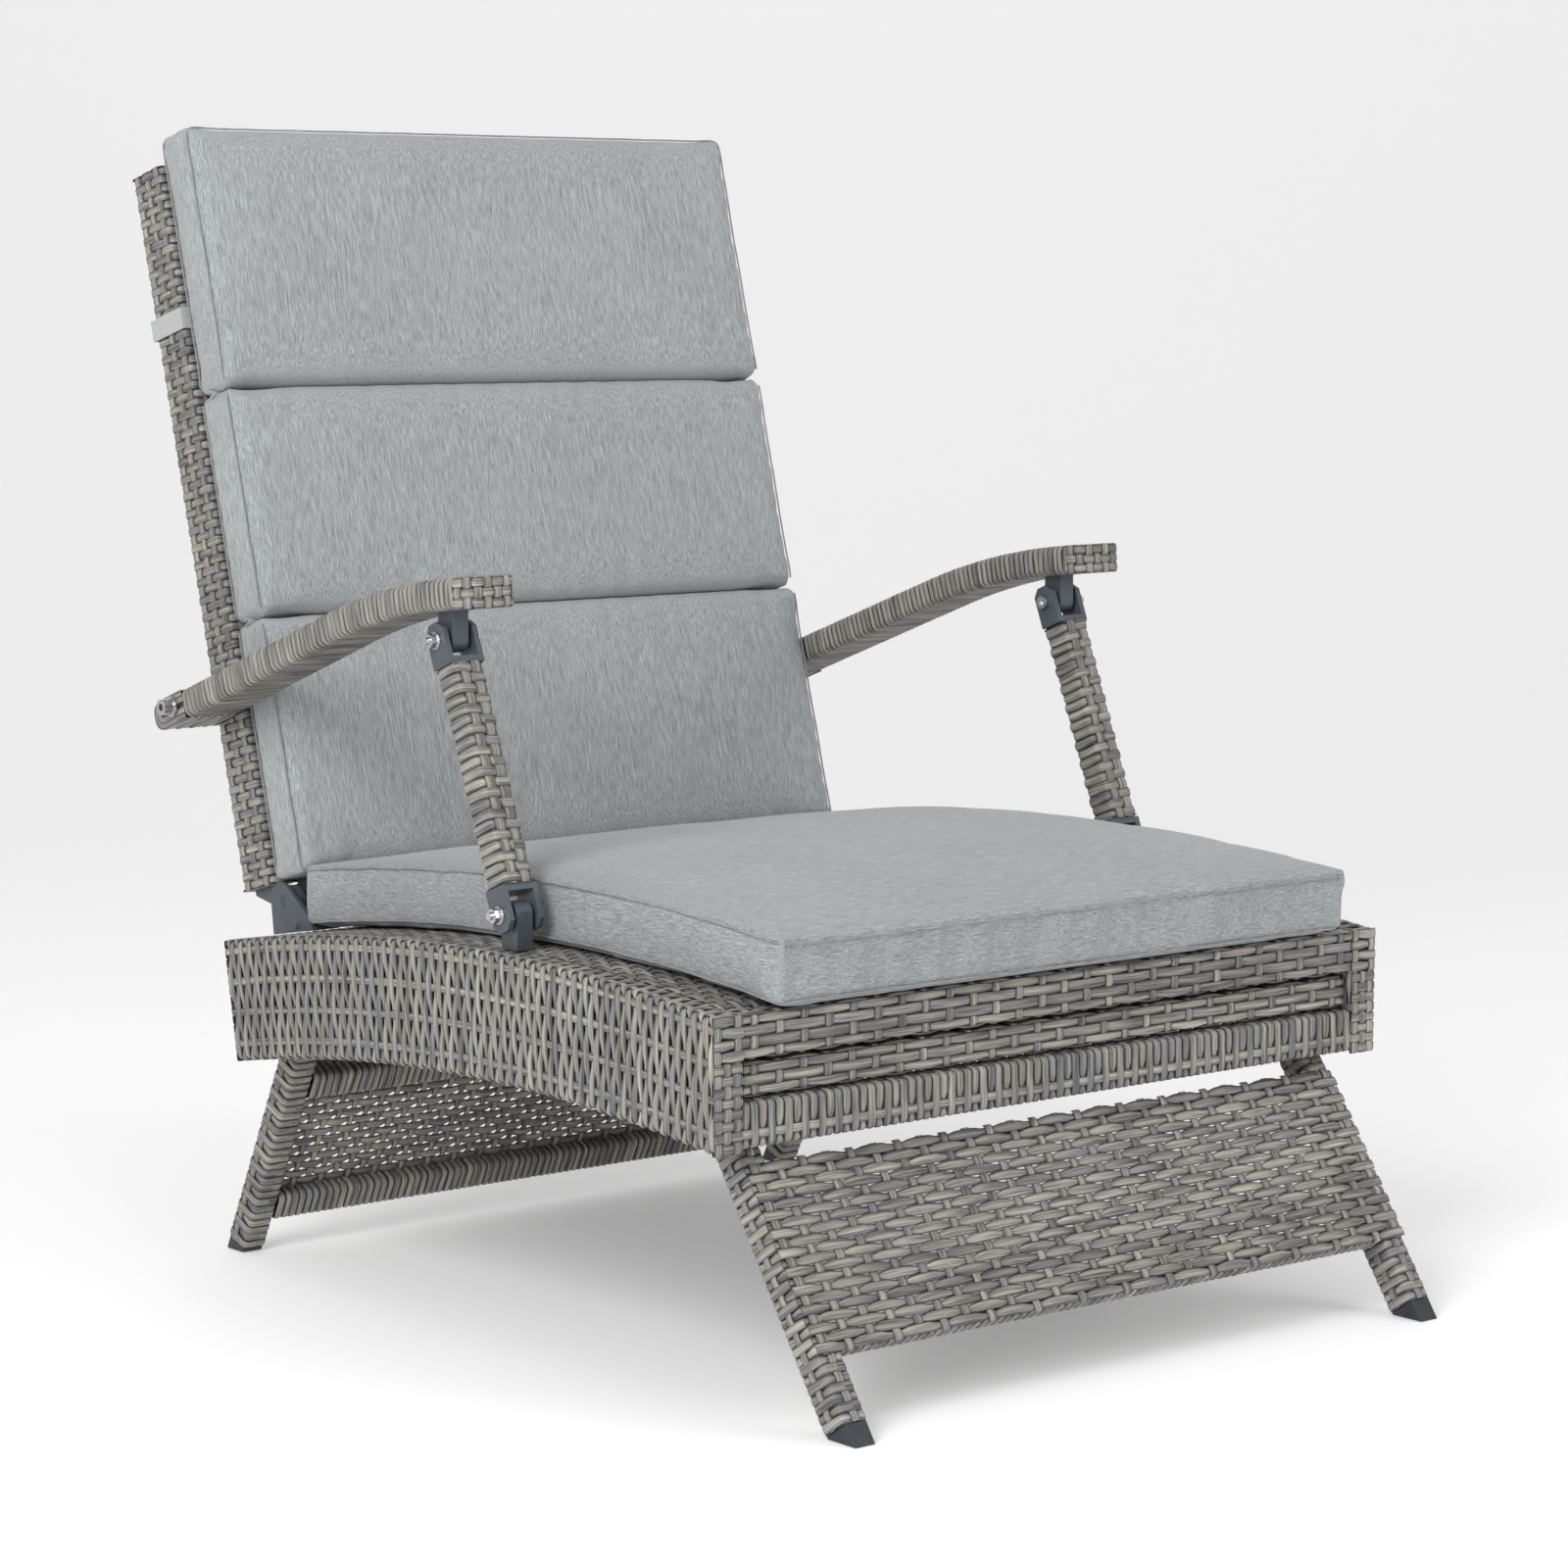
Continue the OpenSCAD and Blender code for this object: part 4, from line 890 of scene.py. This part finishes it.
# ---------------------------------------------------------------- hardware from CAD, edges eased
RECORD = frame["record"]
BODY_OF = {n: body for body, members in RECORD["behaviour"]["bodies"].items() for n in members}
SLOT_OF = {s["node"]: s["material_slot"] for s in RECORD["subparts"]}
# the CAD wicker nodes take the painted shade material too
SLOT_MATERIAL = {"coated_steel": COATED, "stainless": STEEL, "black_plastic": PLASTIC, "elastic_band": BAND,
                 "wicker": PAINTED_SHADE, "cushion_fabric": FABRIC_BACK}


def paint(me, material):
    me.materials.clear()
    me.materials.append(material)


def eased_copy(node, width):
    """A copy of a CAD node with its sharp edges rounded, in place of the node."""
    me = frame["nodes"][node].data.copy()
    ob = add_object(node + "_eased", me)
    paint(me, SLOT_MATERIAL[SLOT_OF[node]])
    bm = bmesh.new()
    bm.from_mesh(me)
    bmesh.ops.remove_doubles(bm, verts=bm.verts, dist=1e-6)
    bmesh.ops.dissolve_limit(bm, angle_limit=math.radians(1.0), verts=bm.verts, edges=bm.edges)
    sharp = math.radians(28)
    edges = [e for e in bm.edges if len(e.link_faces) == 2 and e.calc_face_angle(0) > sharp]
    bmesh.ops.bevel(bm, geom=edges, offset=width, segments=2, profile=0.6, affect="EDGES", clamp_overlap=True)
    for f in bm.faces:
        f.smooth = True
        f.material_index = 0
    bm.to_mesh(me)
    bm.free()
    ob.modifiers.new("normals", "WEIGHTED_NORMAL").keep_sharp = True
    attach(ob, BODY_OF[node])
    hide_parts(node)


def build_hardware():
    for n, ob in frame["nodes"].items():
        paint(ob.data, SLOT_MATERIAL[SLOT_OF[n]])
    for n in ("hinge_brackets", "post_tongues", "arm_tongue_left", "arm_tongue_right", "post_left",
              "post_right", "hinge_tangs"):
        eased_copy(n, 0.0006)
    eased_copy("foot_caps", 0.0010)
    for n in ("post_bolts_left", "post_bolts_right", "arm_pivot_bolts"):
        eased_copy(n, 0.0005)


# ---------------------------------------------------------------- cushions
def box_grid(half_x, f0, f1, top, low, nx, ny, nz=5):
    """Closed box between two surfaces; top and low give (y, z) for a place f along it."""
    bm = bmesh.new()
    grid = {}

    def at(i, j, k):
        if (i, j, k) not in grid:
            f = f0 + (f1 - f0) * j / ny
            a, b = np.array(low(f)), np.array(top(f))
            y, z = a + (b - a) * k / nz
            grid[i, j, k] = bm.verts.new(world((2 * half_x * i / nx - half_x, y, z)))
        return grid[i, j, k]

    def face(*keys):
        bm.faces.new([at(*key) for key in keys])
    for i in range(nx):
        for j in range(ny):
            face((i, j, 0), (i, j + 1, 0), (i + 1, j + 1, 0), (i + 1, j, 0))
            face((i, j, nz), (i + 1, j, nz), (i + 1, j + 1, nz), (i, j + 1, nz))
    for i in range(nx):
        for k in range(nz):
            face((i, 0, k), (i + 1, 0, k), (i + 1, 0, k + 1), (i, 0, k + 1))
            face((i, ny, k), (i, ny, k + 1), (i + 1, ny, k + 1), (i + 1, ny, k))
    for j in range(ny):
        for k in range(nz):
            face((0, j, k), (0, j, k + 1), (0, j + 1, k + 1), (0, j + 1, k))
            face((nx, j, k), (nx, j + 1, k), (nx, j + 1, k + 1), (nx, j, k + 1))
    bmesh.ops.recalc_face_normals(bm, faces=bm.faces)
    return bm


def coords(me):
    co = np.zeros(len(me.vertices) * 3)
    me.vertices.foreach_get("co", co)
    return co.reshape(-1, 3)


def set_coords(ob, co):
    ob.data.vertices.foreach_set("co", np.asarray(co, np.float64).ravel())
    ob.data.update()


def evaluated(ob):
    return ob.evaluated_get(bpy.context.evaluated_depsgraph_get())


def apply_modifiers(ob):
    me = bpy.data.meshes.new_from_object(evaluated(ob))
    ob.modifiers.clear()
    old, ob.data = ob.data, me
    bpy.data.meshes.remove(old)


def inflate(ob, cap, keep, frames=20, stiff=8.0):
    """Cloth simulation with inside pressure; no point moves further than cap, and a part of it is kept."""
    before = coords(ob.data)
    cloth = ob.modifiers.new("cloth", "CLOTH")
    st = cloth.settings
    st.quality = 4
    st.mass = 0.25
    st.tension_stiffness = st.compression_stiffness = stiff
    st.shear_stiffness = stiff * 0.6
    st.bending_stiffness = 0.4
    st.use_pressure = True
    st.uniform_pressure_force = 4.5
    st.shrink_min = -0.02
    st.effector_weights.gravity = 0
    cloth.collision_settings.use_collision = False
    cloth.point_cache.frame_start = 1
    cloth.point_cache.frame_end = frames
    scene = bpy.context.scene
    for f in range(1, frames + 1):
        scene.frame_set(f)
    d = coords(evaluated(ob).data) - before
    ob.modifiers.clear()
    scene.frame_set(1)
    d = d * np.minimum(1, cap / np.maximum(np.linalg.norm(d, axis=1, keepdims=True), 1e-9))
    set_coords(ob, before + keep * d)


def padded_blank(bm, node, voxel, cap, keep):
    """A puffed and subdivided cushion for a CAD node, and its points in chair mm."""
    me = bpy.data.meshes.new(node + "_soft")
    bm.to_mesh(me)
    bm.free()
    ob = add_object(node + "_soft", me)
    remesh = ob.modifiers.new("voxel", "REMESH")
    remesh.mode = "VOXEL"
    remesh.voxel_size = voxel
    apply_modifiers(ob)
    inflate(ob, cap, keep)
    subdivide = ob.modifiers.new("sub", "SUBSURF")
    subdivide.levels = subdivide.render_levels = 1
    apply_modifiers(ob)
    return ob, coords(ob.data) * 1000 + np.array([0, MIDDLE_Y, 0])


def finish_cushion(ob, node, material, seams):
    paint(ob.data, material)
    for p in ob.data.polygons:
        p.use_smooth = True
    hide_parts(node)
    for piece in (ob, *seams):
        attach(piece, BODY_OF[node])


def seam_bead(points, cloth, pull, name, closed):
    """Piping along points, laid on the simulated cloth."""
    near = [cloth[np.argsort(np.linalg.norm(cloth - p, axis=1))[:6]].mean(0) for p in points]
    points = np.array(near) * pull + points * (1 - pull)
    for _ in range(3):
        if closed:
            points = (np.roll(points, 1, 0) + points * 2 + np.roll(points, -1, 0)) / 4
        else:
            points[1:-1] = (points[:-2] + points[1:-1] * 2 + points[2:]) / 4
    cu = bpy.data.curves.new(name, "CURVE")
    cu.dimensions = "3D"
    cu.bevel_depth = 0.0008
    cu.bevel_resolution = 1
    cu.use_fill_caps = not closed
    sp = cu.splines.new("POLY")
    sp.points.add(len(points) - 1)
    sp.points.foreach_set("co", np.concatenate([world(points), np.ones((len(points), 1))], 1).ravel())
    sp.use_cyclic_u = closed
    curve = add_object(name + "_curve", cu)
    bpy.context.view_layer.update()
    me = bpy.data.meshes.new_from_object(evaluated(curve))
    bpy.data.objects.remove(curve)
    paint(me, SEAM)
    for p in me.polygons:
        p.use_smooth = True
    return add_object(name, me)


def noise3(p, scale, seed):
    """Smooth value noise from a few sines, the same on every run."""
    rng = np.random.RandomState(seed)
    out = np.zeros(len(p))
    for k in range(6):
        d = rng.normal(size=3)
        d /= np.linalg.norm(d)
        f = 2 * PI / scale * rng.uniform(0.7, 1.6)
        out += np.sin(p @ d * f + rng.uniform(0, 2 * PI))
    return out / 3.0


def build_seat_cushion():
    thick, half_x, y0, y1 = 47.0, 279.0, -12.0, 575.0
    r_low = ARCH_R + 1.8

    def level(height):
        return lambda y: arch_pt(math.asin((y - CROWN_Y) / ARCH_R), r_low + height)
    bm = box_grid(half_x - 1.6, -10.0, 572.0, level(thick), level(0), 56, 58)
    ob, co = padded_blank(bm, "seat_cushion", 0.0054, 0.005, 0.6)
    th = np.arcsin(np.clip((co[:, 1] - CROWN_Y) / ARCH_R, -1, 1))
    up = np.hypot(co[:, 1] - CROWN_Y, co[:, 2] - ARCH_Z) - r_low
    full = np.clip(up / thick, 0, 1)
    side_gap, front_gap = half_x - np.abs(co[:, 0]), co[:, 1] - y0
    # soft crown on the top, creases on the border walls, flat underneath
    ex = np.clip(side_gap / half_x, 0, 1)
    ey = np.clip(np.minimum(front_gap, y1 - co[:, 1]) / 290, 0, 1)
    rise = 5.0 * (1 - (1 - ex) ** 4) * (1 - (1 - ey) ** 4) * full + noise3(co, 120, 7) * 0.5 * full
    wall = np.clip(1 - np.minimum(side_gap, front_gap) / 12, 0, 1) * np.clip(up / 10, 0, 1)
    crease = noise3(co * np.array([1, 1, 0.25]), 38, 5) * 3.0 + noise3(co * np.array([1, 1, 0.2]), 21, 6) * 0.6
    outward = np.where((side_gap < front_gap)[:, None], np.sign(co[:, :1]) * X_AXIS, np.array([0, -1.0, 0]))
    co = co + vec(0 * th, np.sin(th), np.cos(th)) * rise[:, None] + outward * (wall * crease)[:, None]
    deck = ARCH_Z + np.sqrt(np.maximum((ARCH_R + 0.9) ** 2 - (co[:, 1] - CROWN_Y) ** 2, 0))
    co[:, 2] = np.where(up < 6, np.maximum(co[:, 2], deck), co[:, 2])
    set_coords(ob, world(co))
    # the two sewn edges: a rounded rectangle at each level
    r, cx, cy0, cy1 = 14.0, half_x - 14.5, y0 + 14.5, y1 - 15.5
    ring = [p for x, y, a in ((cx, cy1, 0), (-cx, cy1, 1), (-cx, cy0, 2), (cx, cy0, 3))
            for p in arc(x, y, r, a * PI / 2, (a + 1) * PI / 2, 7)]
    ring = Path(ring + ring[:1])
    n = int(ring.length / 4.0)
    x, y = ring.at(np.arange(n) * ring.length / n)
    seams = []
    for height, tag in ((thick - 1.0, "top"), (4.0, "low")):
        pts = vec(x, *arch_pt(np.arcsin((y - CROWN_Y) / ARCH_R), r_low + height))
        seams.append(seam_bead(pts, co, 0.55, "seat_seam_" + tag, True))
    finish_cushion(ob, "seat_cushion", FABRIC_SEAT, seams)


def seam_runs(i, w0, w1):
    """Runs of the sewn edge on one section of the back cushion: none along the folds."""
    e, r, gap = 274.0, 6.0, 6
    if i == 1:
        runs = [[(x, w0 + gap), (x, w1 - gap)] for x in (-e, e)]
    else:
        # t is the free end of the section, and s points from it towards the fold
        t, fold, s = (w1 - 0.5, w0 + gap, -1) if i == 2 else (w0 + 0.5, w1 - gap, 1)
        half = [(-e, fold), (-e, t + s * r), (-e + r * 0.3, t + s * r * 0.3), (-e + r, t)]
        runs = [half + [(-x, w) for x, w in reversed(half)]]
    for run in map(Path, runs):
        yield run.at(np.linspace(0, run.length, max(2, int(run.length / 4.0))))


def build_back_cushion():
    """Three padded sections with folds between them."""
    u_front, u_rear, half_x = -33.0, 8.5, 275.0
    sections = ("lower", 15.5, 223.4), ("middle", 224.0, 409.0), ("upper", 409.6, 624.0)
    for i, (tag, w0, w1) in enumerate(sections):
        def level(u):
            return lambda f: on_back(0.0, u, f)[1:]
        node = "back_cushion_" + tag
        bm = box_grid(273.8, w0 + 0.6, w1 - 0.6, level(u_front), level(u_rear), 54, 20)
        ob, co = padded_blank(bm, node, 0.0052, 0.0045, 0.55)
        rel = co - HINGE
        x, u, w = rel[:, 0], rel @ BACK_REAR, rel @ BACK_UP
        # the sections stay pressed against each other along the folds
        n = 45
        bins = np.linspace(-half_x, half_x, n + 1)
        which = np.clip(np.digitize(x, bins) - 1, 0, n - 1)
        mids = (bins[:-1] + bins[1:]) / 2
        lo, hi = (np.interp(x, mids, [edge(w[which == k]) for k in range(n)]) for edge in (np.min, np.max))
        lo_to = w0 - 0.1 if i > 0 else lo
        hi_to = w1 + 0.1 if i < 2 else hi
        w = lo_to + (w - lo) / (hi - lo) * (hi_to - lo_to)
        front = np.clip((u_rear - u) / (u_rear - u_front), 0, 1)
        ex = np.clip((half_x - np.abs(x)) / half_x, 0, 1)
        ew = np.clip(np.minimum(w - w0, w1 - w) / ((w1 - w0) / 2), 0, 1)
        fold = np.zeros(len(u))
        if i > 0:
            fold += np.clip(1 - (w - w0) / 9.0, 0, 1) ** 2
        if i < 2:
            fold += np.clip(1 - (w1 - w) / 9.0, 0, 1) ** 2
        crown = 4.0 * (1 - (1 - ex) ** 7) * (1 - (1 - ew) ** 4) * front ** 2 - 5.0 * fold * front
        pucker = noise3(vec(x, u * 0.2, w * 0.22), 34, 20 + i) * 0.9 * (1 - ew) ** 2 * front
        side = np.clip(1 - (half_x - np.abs(x)) / 10, 0, 1)
        crease = noise3(vec(x * 0.1, u * 0.5, w), 48, 30 + i) * 0.9 * side
        co = on_back(x + np.sign(x) * (crease - 6.0 * fold * side), np.minimum(u - crown - pucker, 9.6), w)
        set_coords(ob, world(co))
        seams = [seam_bead(on_back(sx, u_at, sw), co, 0.6, f"{node}_seam_{place}_{k}", False)
                 for u_at, place in ((u_front + 1.2, "front"), (u_rear - 3.0, "rear"))
                 for k, (sx, sw) in enumerate(seam_runs(i, w0, w1))]
        finish_cushion(ob, node, FABRIC_BACK, seams)
    # the folds: a strip of doubled cloth behind each gap
    n = 120
    xs = np.linspace(-272, 272, n)
    profile = (-3.6, -6.0), (-2.2, -10.5), (0.0, -12.5), (2.2, -10.5), (3.6, -6.0)
    for k, w_mid in enumerate((223.7, 409.2)):
        pts = np.stack([on_back(xs, u + 0.8 * np.sin(xs / 17.0 + j + k * 2) + 0.5 * np.sin(xs / 6.3 + 2 * j),
                                np.full(n, w_mid + dw)) for j, (dw, u) in enumerate(profile)], 1)
        idx = np.arange(n * len(profile)).reshape(n, -1)
        quads = np.stack([idx[:-1, :-1], idx[1:, :-1], idx[1:, 1:], idx[:-1, 1:]], -1).reshape(-1, 4)
        ob = mesh_object(f"back_fold_{k}", pts.reshape(-1, 3), quads, [FABRIC_BACK])
        ob.modifiers.new("thick", "SOLIDIFY").thickness = 0.0015
        apply_modifiers(ob)
        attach(ob, "back")


# ---------------------------------------------------------------- camera, floor and light
def aimed(ob, direction):
    ob.rotation_euler = Vector(direction).to_track_quat("-Z", "Y").to_euler()


def build_stage():
    scene = bpy.context.scene
    cam = add_object("camera", bpy.data.cameras.new("camera"))
    cam.location = Vector(world((-2109.9, -2246.2, 774.1)))
    aimed(cam, (0.6307, 0.7674, -0.1154))
    cam.data.sensor_width = 36.0
    cam.data.lens = 98.99
    cam.data.clip_end = 60
    scene.camera = cam

    sh = Shader("pale_floor")
    for key, value in (("Base Color", (0.86, 0.86, 0.86)), ("Roughness", 0.9), ("Emission Color", (1.0, 1.0, 1.0)),
                       ("Emission Strength", 0.22)):
        sh.put(sh.bsdf.inputs[key], value)
    # a floor that curves up into a backdrop far behind the chair
    half, front, bend_y, bend_r, z0, top = 9.0, -9.0, 2.6, 2.0, -0.0004, 7.0
    profile = [(front, z0), (bend_y, z0)]
    profile += [(bend_y + bend_r * math.sin(a), z0 + bend_r - bend_r * math.cos(a))
                for a in np.linspace(0.1, PI / 2, 12)]
    profile += [(bend_y + bend_r, top)]
    n = len(profile)
    me = bpy.data.meshes.new("floor")
    me.from_pydata([(x, y, z) for x in (-half, half) for y, z in profile], [],
                   [(i, i + 1, n + i + 1, n + i) for i in range(n - 1)])
    me.materials.append(sh.material)
    for p in me.polygons:
        p.use_smooth = True
    floor = add_object("floor", me)
    floor.rotation_euler = (0, 0, math.radians(-39.4))

    scene.world = bpy.data.worlds.new("studio")
    scene.world.use_nodes = True
    background = scene.world.node_tree.nodes["Background"].inputs
    background[0].default_value = (1, 1, 1, 1)
    background[1].default_value = 0.46
    for name, loc, height, size, size_y, power in (("key", (-2.7, -1.3, 2.0), 0.4, 1.4, 1.8, 78),
                                                   ("fill", (1.6, -2.8, 1.7), 0.4, 1.8, 1.8, 26),
                                                   ("top", (-0.2, 0.3, 3.2), 0.3, 2.0, 2.0, 11)):
        light = bpy.data.lights.new(name, "AREA")
        light.energy = power
        light.shape = "RECTANGLE"
        light.size, light.size_y = size, size_y
        ob = add_object(name, light)
        ob.location = loc
        aimed(ob, Vector((0, 0, height)) - Vector(loc))
    scene.view_settings.view_transform = "Standard"


# ---------------------------------------------------------------- build
build_stage()
build_hardware()
for side_name, side_sign in SIDES:
    build_side_rail(side_name, side_sign)
    build_arm(side_name, side_sign)
build_cross_members()
build_decks()
build_front_legs()
build_rear_legs()
build_back()
build_seat_cushion()
build_back_cushion()
